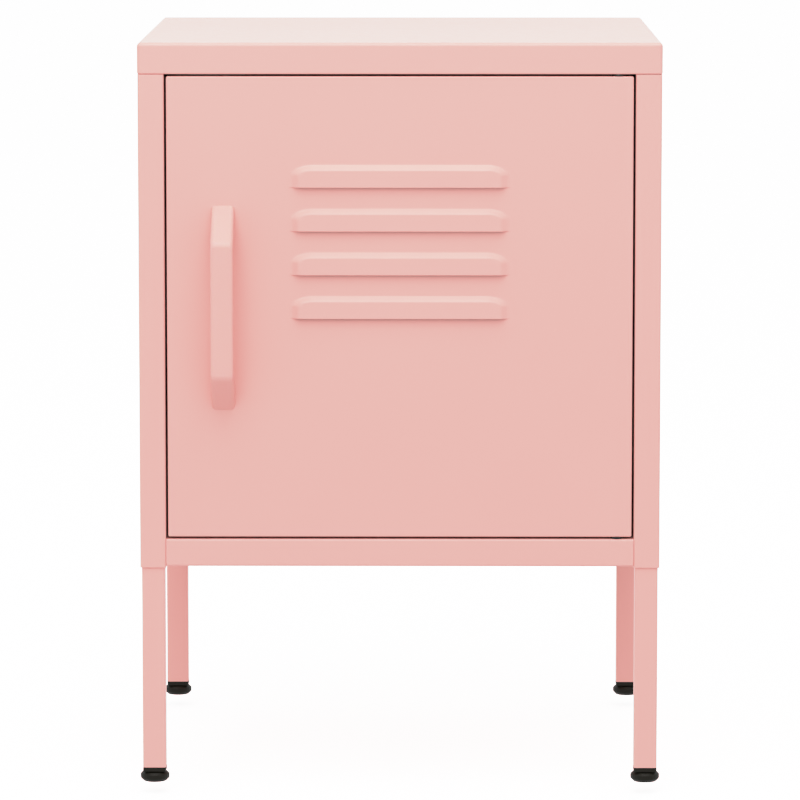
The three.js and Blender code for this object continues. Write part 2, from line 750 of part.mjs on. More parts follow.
function hingeBush(name, edge, towards, flange) {
  const rim = bar(
    BUSH_FLANGE_RADIUS,
    at(PIVOT_X, PIVOT_Y, edge - towards * HINGE_SEAT),
    at(PIVOT_X, PIVOT_Y, edge - towards * flange),
  );
  const sleeve = bar(
    BUSH_RADIUS,
    at(PIVOT_X, PIVOT_Y, edge - (towards * flange) / 2),
    at(PIVOT_X, PIVOT_Y, edge + towards * BUSH_LENGTH),
  );
  const bore = drill(
    PIN_RADIUS + RUNNING_CLEARANCE,
    at(PIVOT_X, PIVOT_Y, edge - towards * (flange + PAST)),
    at(PIVOT_X, PIVOT_Y, edge + towards * (BUSH_LENGTH + PAST)),
  );
  return piece(name, assemble(solidOf(rim), [solidOf(sleeve)], [bore]), whiteNylon);
}

// ---------------------------------------------------------------- catch

const CATCH_TOP = LID_BOTTOM - SEAT_GAP;
const CATCH_SLOT = 2 * POLE_THICKNESS + MAGNET_THICKNESS + 4 * CATCH_AIR;
const CATCH_HEIGHT = CATCH_SLOT + 2 * CATCH_WALL;
const CATCH_FRONT = DOOR_BACK + CATCH_AIR + POLE_PROUD;
const CATCH_EAR_X = CATCH_WIDTH / 2 + CATCH_EAR / 2;
const CATCH_SCREW_Y = CATCH_FRONT + CATCH_DEPTH / 2;
const catchScrews = SIDES.map(([sideName, side]) => ({
  name: `catch_screw_${sideName}`,
  seat: at(CATCH_X + side * CATCH_EAR_X, CATCH_SCREW_Y, CATCH_TOP - CATCH_EAR_THICKNESS - SEAT_GAP),
  direction: Z,
}));

function catchPieces() {
  const slotLow = CATCH_TOP - CATCH_HEIGHT + CATCH_WALL;
  const poleX = CATCH_WIDTH / 2 - CATCH_WALL - CATCH_AIR;
  const poleBack = CATCH_FRONT + CATCH_DEPTH - CATCH_WALL - CATCH_AIR;
  const lowPole = slotLow + CATCH_AIR;
  const magnetLow = lowPole + POLE_THICKNESS + CATCH_AIR;
  const highPole = magnetLow + MAGNET_THICKNESS + CATCH_AIR;
  const across = [CATCH_X - poleX, CATCH_X + poleX];

  const body = box(
    [CATCH_X - CATCH_WIDTH / 2, CATCH_X + CATCH_WIDTH / 2],
    [CATCH_FRONT, CATCH_FRONT + CATCH_DEPTH],
    [CATCH_TOP - CATCH_HEIGHT, CATCH_TOP],
  );
  const ears = box(
    [CATCH_X - CATCH_WIDTH / 2 - CATCH_EAR, CATCH_X + CATCH_WIDTH / 2 + CATCH_EAR],
    [CATCH_FRONT + CATCH_EAR_INSET, CATCH_FRONT + CATCH_DEPTH - CATCH_EAR_INSET],
    [CATCH_TOP - CATCH_EAR_THICKNESS, CATCH_TOP],
  );
  const slot = box(
    [CATCH_X - poleX - CATCH_AIR, CATCH_X + poleX + CATCH_AIR],
    [CATCH_FRONT - PAST, poleBack + CATCH_AIR],
    [slotLow, slotLow + CATCH_SLOT],
  );
  const pole = (name, low) =>
    piece(
      name,
      box(across, [CATCH_FRONT - POLE_PROUD, poleBack], [low, low + POLE_THICKNESS]),
      zincSteel,
    );
  return [
    piece("catch_housing", assemble(body, [ears], [slot, ...holesFor(catchScrews)]), greyPlastic),
    piece(
      "catch_magnet",
      box(across, [CATCH_FRONT + MAGNET_SET_BACK, poleBack], [magnetLow, magnetLow + MAGNET_THICKNESS]),
      ferrite,
    ),
    pole("catch_lower_pole", lowPole),
    pole("catch_upper_pole", highPole),
  ];
}

// ---------------------------------------------------------------- the cabinet

const cabinet = new THREE.Group();
cabinet.add(lid(), backPanel(), floorTray());
for (const [sideName, side] of SIDES) {
  cabinet.add(sidePanel(`${sideName}_side_panel`, side));
  for (const [endName, y] of ENDS) {
    const corner = `${endName}_${sideName}`;
    const x = side * LEG_X;
    const screws = legScrews.filter((s) => s.side === side && s.end === endName);
    cabinet.add(
      leg(`${corner}_leg`, x, y, screws),
      plug(`${corner}_leg_plug`, x, y),
      stud(`${corner}_foot_stud`, x, y),
      pad(`${corner}_foot_pad`, x, y),
    );
  }
}
cabinet.add(doorPanel(), handle());
cabinet.add(
  hingePin("hinge_pin_upper", LID_BOTTOM + SHEET + HINGE_SEAT, -1),
  hingePin("hinge_pin_lower", FLOOR - SHEET - HINGE_SEAT, 1),
  hingeBush("hinge_bush_upper", DOOR_TOP, -1, DOOR_GAP - UPPER_BUSH_SLACK),
  hingeBush("hinge_bush_lower", DOOR_BOTTOM, 1, DOOR_GAP - HINGE_SEAT),
);
cabinet.add(...catchPieces());
for (const { name, seat, direction } of [
  ...legScrews,
  ...lidScrews,
  ...trayScrews,
  ...backScrews,
  ...catchScrews,
])
  cabinet.add(screw(name, seat, direction));
for (const { name, seat, direction } of handleScrews)
  cabinet.add(screw(name, seat, direction, SHEET + HANDLE_SCREW_DEPTH));

// The handle stands out at the front and the screw heads at the back, and the origin is midway.
const OVERALL_FRONT = BODY_FRONT - SEAT_GAP - HANDLE_REACH;
const OVERALL_BACK = BODY_BACK + SEAT_GAP + SCREW_HEAD;
cabinet.position.y = -(OVERALL_FRONT + OVERALL_BACK) / 2;

export default cabinet;
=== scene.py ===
"""A bedside locker cabinet: folded steel in pale pink powder coat, on four levelling legs.

The pieces come in the order in which the cabinet is put together. Sizes are in millimetres
times MM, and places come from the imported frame.
"""

import math

import bmesh
import bpy
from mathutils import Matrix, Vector


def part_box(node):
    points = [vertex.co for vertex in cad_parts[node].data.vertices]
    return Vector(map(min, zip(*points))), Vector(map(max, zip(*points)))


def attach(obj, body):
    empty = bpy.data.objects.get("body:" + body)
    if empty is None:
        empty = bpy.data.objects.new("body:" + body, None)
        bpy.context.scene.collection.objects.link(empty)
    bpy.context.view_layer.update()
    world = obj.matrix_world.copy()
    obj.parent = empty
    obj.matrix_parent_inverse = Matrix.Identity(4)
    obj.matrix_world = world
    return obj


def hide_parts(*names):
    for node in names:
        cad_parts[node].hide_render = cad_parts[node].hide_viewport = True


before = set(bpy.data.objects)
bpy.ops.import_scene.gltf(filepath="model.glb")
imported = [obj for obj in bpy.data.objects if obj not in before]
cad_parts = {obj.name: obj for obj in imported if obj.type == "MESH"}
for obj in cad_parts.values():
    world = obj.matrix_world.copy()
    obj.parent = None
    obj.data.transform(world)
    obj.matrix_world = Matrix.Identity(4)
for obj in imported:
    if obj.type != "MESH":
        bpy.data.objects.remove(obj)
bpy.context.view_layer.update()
MM = 0.001

# ------------------------------------------------------------------ studio
# A pale floor in a white room, with two large soft lights: one overhead and one in front.
# The camera looks at the door from a few metres off, from just above the lid.

CAMERA_AT = (18.2 * MM, -3609.8 * MM, 684.1 * MM)
CAMERA_DOWN = math.radians(7.0)
CAMERA_RIGHT = math.radians(-0.3)
CAMERA_LENS = 233.2
CAMERA_SEES = 100.0  # metres

camera = bpy.data.objects.new("camera", bpy.data.cameras.new("camera"))
camera.location = CAMERA_AT
camera.rotation_euler = (math.pi / 2 - CAMERA_DOWN, 0, -CAMERA_RIGHT)
camera.data.lens = CAMERA_LENS
camera.data.clip_end = CAMERA_SEES
bpy.context.collection.objects.link(camera)
bpy.context.scene.camera = camera
bpy.context.scene.view_settings.view_transform = "Standard"

ROOM_LIGHT = 0.83
ROOM_TILT = (0.0, 0.24, 0.0)  # the room is brighter behind the cabinet than in front of it
LIT_POINT = Vector((0, -0.1, 0.3))  # what the soft lights face, in metres
room = bpy.data.worlds.new("room")
room.use_nodes = True
room_nodes = room.node_tree.nodes
room_links = room.node_tree.links
direction = room_nodes.new("ShaderNodeTexCoord")
tilt = room_nodes.new("ShaderNodeVectorMath")
tilt.operation = "DOT_PRODUCT"
tilt.inputs[1].default_value = ROOM_TILT
strength = room_nodes.new("ShaderNodeMath")
strength.inputs[1].default_value = ROOM_LIGHT
room_links.new(direction.outputs["Generated"], tilt.inputs[0])
room_links.new(tilt.outputs["Value"], strength.inputs[0])
room_nodes["Background"].inputs["Color"].default_value = (1, 1, 1, 1)
room_links.new(strength.outputs["Value"], room_nodes["Background"].inputs["Strength"])
bpy.context.scene.world = room


def soft_light(name, place, size, watts):
    """A square area light at a place, turned towards the cabinet. Metres and watts."""
    lamp = bpy.data.objects.new(name, bpy.data.lights.new(name, "AREA"))
    lamp.data.size = size
    lamp.data.energy = watts
    lamp.location = place
    lamp.rotation_euler = (LIT_POINT - Vector(place)).to_track_quat("-Z", "Y").to_euler()
    bpy.context.collection.objects.link(lamp)


soft_light("overhead", (0, -1.5, 2.6), 2.2, 31.5)
soft_light("key", (-0.5, -3.0, 1.5), 2.0, 18.5)

# Past about 0.7, light is compressed on its way to white, as a camera does. Reds hold on longer
# in the shade, so shaded paint looks deeper and not greyer. Both curves are pairs of light in and
# light out, and the reds' curve is applied first.
TONES = [(0.2, 0.2), (0.4, 0.4), (0.6, 0.6), (0.7, 0.7), (0.86, 0.83), (1.06, 0.88), (1.5, 0.97)]
REDS = [(0.1, 0.1), (0.3, 0.35), (0.45, 0.55), (0.62, 0.745), (0.73, 0.805), (0.82, 0.852)]
REDS += [(0.9, 0.895), (1.06, 1.06), (1.3, 1.3)]
WHITE = 2.0
bpy.context.scene.view_settings.use_curve_mapping = True
tone_curve = bpy.context.scene.view_settings.curve_mapping
tone_curve.white_level = (WHITE, WHITE, WHITE)
for light, shown in TONES:
    tone_curve.curves[3].points.new(light / WHITE, shown)
for light, held in REDS:
    tone_curve.curves[0].points.new(light / WHITE, held / WHITE)
tone_curve.update()

# The floor lies where the levelling feet reach when they are wound right out, and it shows only
# from above, so the underside can be looked at.
FLOOR_HALF = 200.0  # metres
FLOOR_Z = -8.05 * MM
FLOOR_GLOW = 0.95
floor_corners = [(-1, -1), (1, -1), (1, 1), (-1, 1)]
floor_mesh = bpy.data.meshes.new("floor")
floor_mesh.from_pydata(
    [(x * FLOOR_HALF, y * FLOOR_HALF, FLOOR_Z) for x, y in floor_corners], [], [(0, 1, 2, 3)]
)
floor = bpy.data.objects.new("floor", floor_mesh)
bpy.context.collection.objects.link(floor)
floor_paint = bpy.data.materials.new("floor")
floor_paint.use_nodes = True
floor_nodes = floor_paint.node_tree.nodes
floor_links = floor_paint.node_tree.links
floor_shader = floor_nodes["Principled BSDF"]
floor_shader.inputs["Base Color"].default_value = (0.9, 0.9, 0.9, 1)
floor_shader.inputs["Roughness"].default_value = 0.9
floor_shader.inputs["Emission Color"].default_value = (1, 1, 1, 1)
floor_shader.inputs["Emission Strength"].default_value = FLOOR_GLOW
one_way = floor_nodes.new("ShaderNodeMixShader")
floor_side = floor_nodes.new("ShaderNodeNewGeometry")
floor_links.new(floor_side.outputs["Backfacing"], one_way.inputs["Fac"])
floor_links.new(floor_shader.outputs["BSDF"], one_way.inputs[1])
floor_links.new(floor_nodes.new("ShaderNodeBsdfTransparent").outputs["BSDF"], one_way.inputs[2])
floor_links.new(one_way.outputs["Shader"], floor_nodes["Material Output"].inputs["Surface"])
floor_mesh.materials.append(floor_paint)
floor.visible_diffuse = False
floor.visible_glossy = False

# ------------------------------------------------------------------ side panels
# Two sheets of 0.8 mm steel, each folded round into a square post at the front and the back, with
# a flange turned in along the top and the bottom. Folded on a press brake, then powder coated.

SHEET = 0.8 * MM
FOLD = 1.4 * MM  # outside radius of a fold
FOLD_STEPS = 6
SLIP = 0.1 * MM  # gap beside a piece that slides into place
EDGE = 0.16 * MM  # how far a raw edge is eased
POST_SLIT = 1.2 * MM  # where the post's last fold stops short of the side
SIDE_FLANGE = 15 * MM
PINK = (0.86, 0.505, 0.462)


def shader(name, color, roughness, **settings):
    """A material, with its tree and its main shader. Settings are sockets of that shader."""
    material = bpy.data.materials.new(name)
    material.use_nodes = True
    main = material.node_tree.nodes["Principled BSDF"]
    main.inputs["Base Color"].default_value = (*color, 1)
    main.inputs["Roughness"].default_value = roughness
    for socket, value in settings.items():
        main.inputs[socket.replace("_", " ")].default_value = value
    return material, material.node_tree, main


def noise(tree, feature, detail=2.0, roughness=0.5):
    """Noise on object coordinates, whose features are about as large as the size given."""
    where = tree.nodes.new("ShaderNodeTexCoord")
    texture = tree.nodes.new("ShaderNodeTexNoise")
    texture.inputs["Scale"].default_value = 1 / feature
    texture.inputs["Detail"].default_value = detail
    texture.inputs["Roughness"].default_value = roughness
    tree.links.new(where.outputs["Object"], texture.inputs["Vector"])
    return texture.outputs["Fac"]


def between(tree, factor, low, high, target):
    """Feeds a socket with a value or colour that runs from low to high as the factor does."""
    if isinstance(low, tuple):
        mix = tree.nodes.new("ShaderNodeMix")
        mix.data_type = "RGBA"
        tree.links.new(factor, mix.inputs["Factor"])
        for socket in mix.inputs:
            if socket.type == "RGBA":
                socket.default_value = (*(low if socket.name == "A" else high), 1)
        result = next(s for s in mix.outputs if s.type == "RGBA")
    else:
        spread = tree.nodes.new("ShaderNodeMapRange")
        spread.inputs["To Min"].default_value = low
        spread.inputs["To Max"].default_value = high
        tree.links.new(factor, spread.inputs["Value"])
        result = spread.outputs["Result"]
    tree.links.new(result, target)


def relief(tree, height, depth, main, under=None):
    """Bumps the shader by a height from 0 to 1 that stands for a depth in metres."""
    bump = tree.nodes.new("ShaderNodeBump")
    bump.inputs["Distance"].default_value = depth
    tree.links.new(height, bump.inputs["Height"])
    if under:
        tree.links.new(under, bump.inputs["Normal"])
    tree.links.new(bump.outputs["Normal"], main.inputs["Normal"])
    return bump.outputs["Normal"]


def powder_coat():
    """Satin paint with a faint orange peel, and a slight drift in its colour and its gloss."""
    material, tree, main = shader("pink_powder_coat", PINK, 0.42)
    lighter = tuple(c * 1.012 for c in PINK)
    darker = tuple(c * 0.985 for c in PINK)
    between(tree, noise(tree, 90 * MM), darker, lighter, main.inputs["Base Color"])
    between(tree, noise(tree, 6 * MM, 3), 0.26, 0.34, main.inputs["Roughness"])
    peel = relief(tree, noise(tree, 2.2 * MM, 1), 0.012 * MM, main)
    relief(tree, noise(tree, 0.35 * MM, 2), 0.004 * MM, main, peel)
    return material


def rounded(line, radius, steps=FOLD_STEPS, closed=False):
    """A line whose corners are turned into arcs. Corners may have a radius each."""
    points = [Vector(p) for p in line]
    radii = radius if isinstance(radius, (list, tuple)) else [radius] * len(points)
    result = []
    for i, corner in enumerate(points):
        if not closed and i in (0, len(points) - 1):
            result.append(corner)
            continue
        back = (points[i - 1] - corner).normalized()
        ahead = (points[(i + 1) % len(points)] - corner).normalized()
        half = back.angle(ahead) / 2
        centre = corner + (back + ahead).normalized() * (radii[i] / math.sin(half))
        reach = radii[i] / math.tan(half)
        start = corner + back * reach - centre
        end = corner + ahead * reach - centre
        sweep = math.pi - 2 * half
        for k in range(steps + 1):
            part = sweep * k / steps
            result.append(
                centre + (start * math.sin(sweep - part) + end * math.sin(part)) / math.sin(sweep)
            )
    return result


def quads(rows, closed=False):
    """Four-sided faces between rows of points. Closed rows join their ends."""
    faces = []
    for low, high in zip(rows, rows[1:]):
        count = len(low)
        for i in range(count if closed else count - 1):
            j = (i + 1) % count
            faces.append([low[i], low[j], high[j], high[i]])
    return faces


def mesh_piece(name, faces, facing=None):
    """An object made of faces, whose shared corners are welded.
    A closed shape faces outwards; on an open one the largest face looks the way given."""
    numbers = {}
    corners = []
    polygons = []
    for face in faces:
        ids = []
        for point in face:
            key = tuple(round(c * 1e7) for c in point)
            if key not in numbers:
                numbers[key] = len(corners)
                corners.append(point)
            if numbers[key] not in ids:
                ids.append(numbers[key])
        if len(ids) > 2:
            polygons.append(ids)
    mesh = bpy.data.meshes.new(name)
    mesh.from_pydata(corners, [], polygons)
    work = bmesh.new()
    work.from_mesh(mesh)
    bmesh.ops.recalc_face_normals(work, faces=work.faces)
    if facing:
        largest = max(work.faces, key=lambda f: f.calc_area())
        if largest.normal.dot(Vector(facing)) < 0:
            bmesh.ops.reverse_faces(work, faces=work.faces)
    work.to_mesh(mesh)
    work.free()
    piece = bpy.data.objects.new(name, mesh)
    bpy.context.collection.objects.link(piece)
    return piece


def ease(piece, width, segments=2, angle=50):
    """Rounds every edge that is sharper than an angle, and smooths the shading between."""
    bevel = piece.modifiers.new("ease", "BEVEL")
    bevel.width = width
    bevel.segments = segments
    bevel.limit_method = "ANGLE"
    bevel.angle_limit = math.radians(angle)
    piece.data.polygons.foreach_set("use_smooth", [True] * len(piece.data.polygons))
    smooth = piece.modifiers.new("smooth", "WEIGHTED_NORMAL")
    smooth.keep_sharp = True
    smooth.weight = 80


def thicken(piece, thickness=SHEET):
    """Gives a skin its thickness, on the side away from its facing."""
    wall = piece.modifiers.new("thickness", "SOLIDIFY")
    wall.thickness = thickness
    wall.offset = -1
    wall.use_even_offset = True
    wall.use_quality_normals = True


def plain(piece):
    """Turns a piece with modifiers into a plain mesh."""
    graph = bpy.context.evaluated_depsgraph_get()
    result = bpy.data.meshes.new_from_object(piece.evaluated_get(graph))
    piece.modifiers.clear()
    piece.data = result


def settle(piece, material, slot, body, *nodes):
    """Gives a finished piece its material and ties it to the frame."""
    piece.data.materials.clear()
    piece.data.materials.append(material)
    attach(piece, body)
    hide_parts(*nodes)


def sheet_piece(name, faces, facing, body, node):
    """A powder-coated piece of folded sheet."""
    piece = mesh_piece(name, faces, facing)
    thicken(piece)
    ease(piece, EDGE)
    plain(piece)
    settle(piece, pink_paint, "pink_powder_coat", body, node)


pink_paint = powder_coat()

for side_name, side in (("left", -1), ("right", 1)):
    node = f"{side_name}_side_panel"
    low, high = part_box(node)
    post = high.x - low.x
    outer = max(abs(low.x), abs(high.x))
    inner = outer - post
    lip = outer - SHEET - POST_SLIT
    stops = (low.y + post + SLIP, high.y - post - SLIP)
    front = rounded(
        [(lip, low.y + post, 0), (inner, low.y + post, 0), (inner, low.y, 0), (outer, low.y, 0)]
        + [(outer, stops[0], 0)],
        FOLD,
    )
    rear = rounded(
        [(outer, stops[1], 0), (outer, high.y, 0), (inner, high.y, 0), (inner, high.y - post, 0)]
        + [(lip, high.y - post, 0)],
        FOLD,
    )
    levels = [low.z, low.z + FOLD, high.z - FOLD, high.z]
    skin = []
    for line in (front, rear):
        skin += quads([[Vector((p.x, p.y, z)) for p in line] for z in levels])
    skin += quads([[Vector((outer, y, z)) for y in stops] for z in levels[1:3]])
    middle = (low.z + high.z) / 2
    for edge in (low.z, high.z):
        line = [(outer, 0, middle), (outer, 0, edge), (outer - SIDE_FLANGE, 0, edge)]
        fold = rounded(line, FOLD)[1:]
        skin += quads([[Vector((p.x, y, p.z)) for p in fold] for y in stops])
    skin = [[Vector((p.x * side, p.y, p.z)) for p in face] for face in skin]
    sheet_piece(f"{side_name}_side", skin, (side, 0, 0), "carcass", node)

# ------------------------------------------------------------------ floor tray
# A sheet notched at its corners to clear the posts, with its four edges folded down and back
# under. The front fold is the rail below the door. It rests on the side panels' flanges.

TRAY_RIM = 12 * MM

low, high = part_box("floor_tray")
post_low, post_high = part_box("right_side_panel")
half_gap = post_low.x - SLIP
stops = (post_low.y + post + SLIP, post_high.y - post - SLIP)


def tray_edge(edge, inwards):
    """The fold down from the floor, and back under, as distances and heights."""
    line = [(edge + inwards * 60 * MM, 0, high.z), (edge, 0, high.z), (edge, 0, low.z)]
    return rounded(line + [(edge + inwards * TRAY_RIM, 0, low.z)], FOLD)[1:]


skin = [
    [
        Vector((x, y, high.z))
        for x, y in (
            [(-half_gap, low.y + FOLD), (half_gap, low.y + FOLD), (half_gap, stops[0])]
            + [(half_gap, stops[1]), (half_gap, high.y - FOLD), (-half_gap, high.y - FOLD)]
            + [(-half_gap, stops[1]), (-half_gap, stops[0])]
        )
    ]
]
for edge, inwards in ((low.y, 1), (high.y, -1)):
    fold = tray_edge(edge, inwards)
    skin += quads([[Vector((x, p.x, p.z)) for p in fold] for x in (-half_gap, half_gap)])
for edge, inwards in ((low.x, 1), (high.x, -1)):
    fold = tray_edge(edge, inwards)
    skin += quads([[Vector((p.x, y, p.z)) for p in fold] for y in stops])
    across = (-inwards * half_gap, edge + inwards * FOLD)
    skin += quads([[Vector((x, y, high.z)) for x in across] for y in stops])
sheet_piece("tray", skin, (0, 0, 1), "carcass", "floor_tray")

# ------------------------------------------------------------------ back panel
# A flat sheet that laps over the rear posts, with flanges folded forwards between them.

BACK_FLANGE = 15 * MM

low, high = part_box("back_panel")
levels = (low.z + FOLD, high.z - FOLD)
columns = (low.x, -half_gap, half_gap, high.x)
skin = quads([[Vector((x, high.y, z)) for x in columns] for z in levels])
middle = (low.z + high.z) / 2
for edge in (low.z, high.z):
    line = [(0, high.y, middle), (0, high.y, edge), (0, high.y - BACK_FLANGE, edge)]
    fold = rounded(line, FOLD)[1:]
    skin += quads([[Vector((x, p.y, p.z)) for p in fold] for x in (-half_gap, half_gap)])
sheet_piece("back", skin, (0, 1, 0), "carcass", "back_panel")

# ------------------------------------------------------------------ lid
# A pan pressed and welded at its corners, with its rim turned in. The front rim is wider, to
# carry the upper hinge pin and the catch.

LID_RIM = 15 * MM
LID_FRONT_RIM = 32 * MM
LID_FOLD = 2.4 * MM
LID_RIM_FOLD = 1.0 * MM
CORNER_SPARE = 0.2 * MM  # how much rounder a pan's corners are than its folds
RIM_CORNER = 1.0 * MM


def rectangle(left, right, down, up, corner, steps=FOLD_STEPS):
    """A rectangle with rounded corners, as points with no third measure."""
    line = [(left, down, 0), (right, down, 0), (right, up, 0), (left, up, 0)]
    return rounded(line, corner, steps, closed=True)


def pan_rings(left, right, down, up, depth, rim, fold, rim_fold):
    """The rings of a pan from its face's edge back to its rim, as (across, up, depth).
    The rim is four widths: left, right, down and up."""
    face_to_rim = []
    for k in range(FOLD_STEPS + 1):
        turn = math.pi / 2 * k / FOLD_STEPS
        face_to_rim.append((fold * (1 - math.sin(turn)), fold * (1 - math.cos(turn))))
    for k in range(FOLD_STEPS + 1):
        turn = math.pi / 2 * k / FOLD_STEPS
        inset = rim_fold * (1 - math.cos(turn))
        face_to_rim.append((inset, depth - rim_fold * (1 - math.sin(turn))))
    corner = fold + CORNER_SPARE
    rings = []
    for inset, back in face_to_rim:
        ring = rectangle(left + inset, right - inset, down + inset, up - inset, corner - inset)
        rings.append([Vector((p.x, p.y, back)) for p in ring])
    mouth = rectangle(left + rim[0], right - rim[1], down + rim[2], up - rim[3], RIM_CORNER)
    rings.append([Vector((p.x, p.y, depth)) for p in mouth])
    return rings


low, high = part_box("lid")
rims = (LID_RIM, LID_RIM, LID_FRONT_RIM, LID_RIM)
rings = pan_rings(low.x, high.x, low.y, high.y, high.z - low.z, rims, LID_FOLD, LID_RIM_FOLD)
skin = quads(rings, closed=True) + [rings[0]]
skin = [[Vector((p.x, p.y, high.z - p.z)) for p in face] for face in skin]
sheet_piece("lid_pan", skin, (0, 0, 1), "carcass", "lid")

# ------------------------------------------------------------------ legs
# Square steel tubes, powder coated, that slide up into the posts and are screwed there.

LEG_WALL = 1.0 * MM
LEG_CORNER = 1.5 * MM
CORNERS = [f"{end}_{hand}" for end in ("front", "rear") for hand in ("left", "right")]

for corner in CORNERS:
    low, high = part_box(f"{corner}_leg")
    outline = rectangle(low.x, high.x, low.y, high.y, LEG_CORNER)
    tube = mesh_piece(
        f"{corner}_tube",
        quads([[Vector((p.x, p.y, z)) for p in outline] for z in (low.z, high.z)], closed=True),
        (-1 if "left" in corner else 1, 0, 0),
    )
    thicken(tube, LEG_WALL)
    ease(tube, EDGE)
    plain(tube)
    settle(tube, pink_paint, "pink_powder_coat", "carcass", f"{corner}_leg")

# ------------------------------------------------------------------ leg plugs
# Moulded black plastic: a collar under the end of the tube, and a barbed stem inside it.

STEM_GAP = 0.15 * MM
STEM_CORNER = 1.0 * MM
STEM_TAPER = 1.0 * MM
BARB = 0.35 * MM
BARBS = 4
BARB_RISE = 0.15  # how much of a barb's height its lower slope takes
COLLAR_GAP = 0.05 * MM
COLLAR_EASE = 0.5 * MM
STUD_BORE = 3.15 * MM
NEARLY_ROUND = 0.999  # a corner as large as the half width would leave sides of no length


def black_plastic():
    """Moulded plastic with a fine spark-eroded grain."""
    material, tree, main = shader(
        "black_plastic", (0.014, 0.01, 0.006), 0.5, Specular_IOR_Level=0.25
    )
    between(tree, noise(tree, 3 * MM, 2), 0.42, 0.56, main.inputs["Roughness"])
    relief(tree, noise(tree, 0.25 * MM, 2), 0.02 * MM, main)
    return material


black = black_plastic()


def ring_at(x, y, half, corner, z):
    """A level ring with rounded corners: a circle where the corner equals the half width."""
    outline = rectangle(x - half, x + half, y - half, y + half, corner)
    return [Vector((p.x, p.y, z)) for p in outline]


for corner in CORNERS:
    tube_low, tube_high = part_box(f"{corner}_leg")
    low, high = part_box(f"{corner}_leg_plug")
    x, y = (tube_low.x + tube_high.x) / 2, (tube_low.y + tube_high.y) / 2
    half = (tube_high.x - tube_low.x) / 2
    stem = half - LEG_WALL - STEM_GAP
    seat = tube_low.z - COLLAR_GAP
    shoulder = high.z - STEM_TAPER
    rings = [ring_at(x, y, STUD_BORE, STUD_BORE * NEARLY_ROUND, low.z)]
    for inset, z in ((COLLAR_EASE, low.z), (0, low.z + COLLAR_EASE), (0, seat)):
        rings.append(ring_at(x, y, half - inset, LEG_CORNER, z))
    step = (shoulder - seat) / BARBS
    for k in range(BARBS):
        rings.append(ring_at(x, y, stem - BARB if k else stem, STEM_CORNER, seat + k * step))
        rings.append(ring_at(x, y, stem, STEM_CORNER, seat + (k + BARB_RISE) * step))
    rings.append(ring_at(x, y, stem - BARB, STEM_CORNER, shoulder))
    rings.append(ring_at(x, y, stem - STEM_TAPER, STEM_CORNER, high.z))
    rings.append(ring_at(x, y, STUD_BORE, STUD_BORE * NEARLY_ROUND, high.z))
    plug = mesh_piece(f"{corner}_plug", quads(rings + rings[:1], closed=True))
    ease(plug, 0.12 * MM, angle=35)
    plain(plug)
    settle(plug, black, "black_plastic", "carcass", f"{corner}_leg_plug")

# ------------------------------------------------------------------ levelling feet
# An M6 zinc-plated stud with a rolled thread, turned into the plug, and a round moulded pad on
# its lower end. The pad's rim has shallow flutes to turn it by.

THREAD_PITCH = 1.0 * MM
THREAD_DEPTH = 0.6 * MM
STUD_END = 0.5 * MM  # left free at each end of the CAD's stud
FLUTES = 24
FLUTE_DEPTH = 0.14 * MM
PAD_SIDES = 96
SOCKET_FLOOR = 1.5 * MM
ON_AXIS = 0.001 * MM  # the radius at which a turned outline meets its axis


def zinc_plate():
    """Bright zinc on steel: faintly clouded, with a cool tone."""
    material, tree, main = shader("zinc_plated_steel", (0.62, 0.63, 0.65), 0.3, Metallic=1.0)
    clouds = noise(tree, 4 * MM, 4)
    between(tree, clouds, (0.55, 0.56, 0.59), (0.68, 0.69, 0.7), main.inputs["Base Color"])
    between(tree, noise(tree, 1.5 * MM, 3), 0.22, 0.4, main.inputs["Roughness"])
    relief(tree, noise(tree, 0.3 * MM, 2), 0.004 * MM, main)
    return material


zinc = zinc_plate()


def node_tree(name, inputs):
    """A geometry tree with named inputs. Returns it with its first and last nodes."""
    tree = bpy.data.node_groups.new(name, "GeometryNodeTree")
    tree.interface.new_socket("Geometry", in_out="INPUT", socket_type="NodeSocketGeometry")
    for label, kind in inputs.items():
        tree.interface.new_socket(label, in_out="INPUT", socket_type=f"NodeSocket{kind}")
    tree.interface.new_socket("Geometry", in_out="OUTPUT", socket_type="NodeSocketGeometry")
    start = tree.nodes.new("NodeGroupInput")
    end = tree.nodes.new("NodeGroupOutput")
    return tree, start, end


def add_node(tree, kind, links=None, **settings):
    """Adds a node, sets its options, and links or sets its sockets by name or number."""
    made = tree.nodes.new(kind)
    for option, value in settings.items():
        setattr(made, option, value)
    for socket, source in (links or {}).items():
        if isinstance(source, bpy.types.NodeSocket):
            tree.links.new(source, made.inputs[socket])
        else:
            made.inputs[socket].default_value = source
    return made


def math_node(tree, operation, *values):
    """The result of one sum on numbers or sockets."""
    return add_node(tree, "ShaderNodeMath", dict(enumerate(values)), operation=operation).outputs[0]


def end_tree(tree, geometry, start, end):
    """Realizes what the tree made and gives it its material."""
    real = add_node(tree, "GeometryNodeRealizeInstances", {"Geometry": geometry})
    painted = add_node(
        tree,
        "GeometryNodeSetMaterial",
        {"Geometry": real.outputs["Geometry"], "Material": start.outputs["Material"]},
    )
    tree.links.new(painted.outputs["Geometry"], end.inputs["Geometry"])


def grow(piece, tree, **values):
    """Runs a geometry tree on a piece, with its inputs set by name."""
    modifier = piece.modifiers.new(tree.name, "NODES")
    modifier.node_group = tree
    for item in tree.interface.items_tree:
        if item.in_out == "INPUT" and item.name in values:
            modifier[item.identifier] = values[item.name]


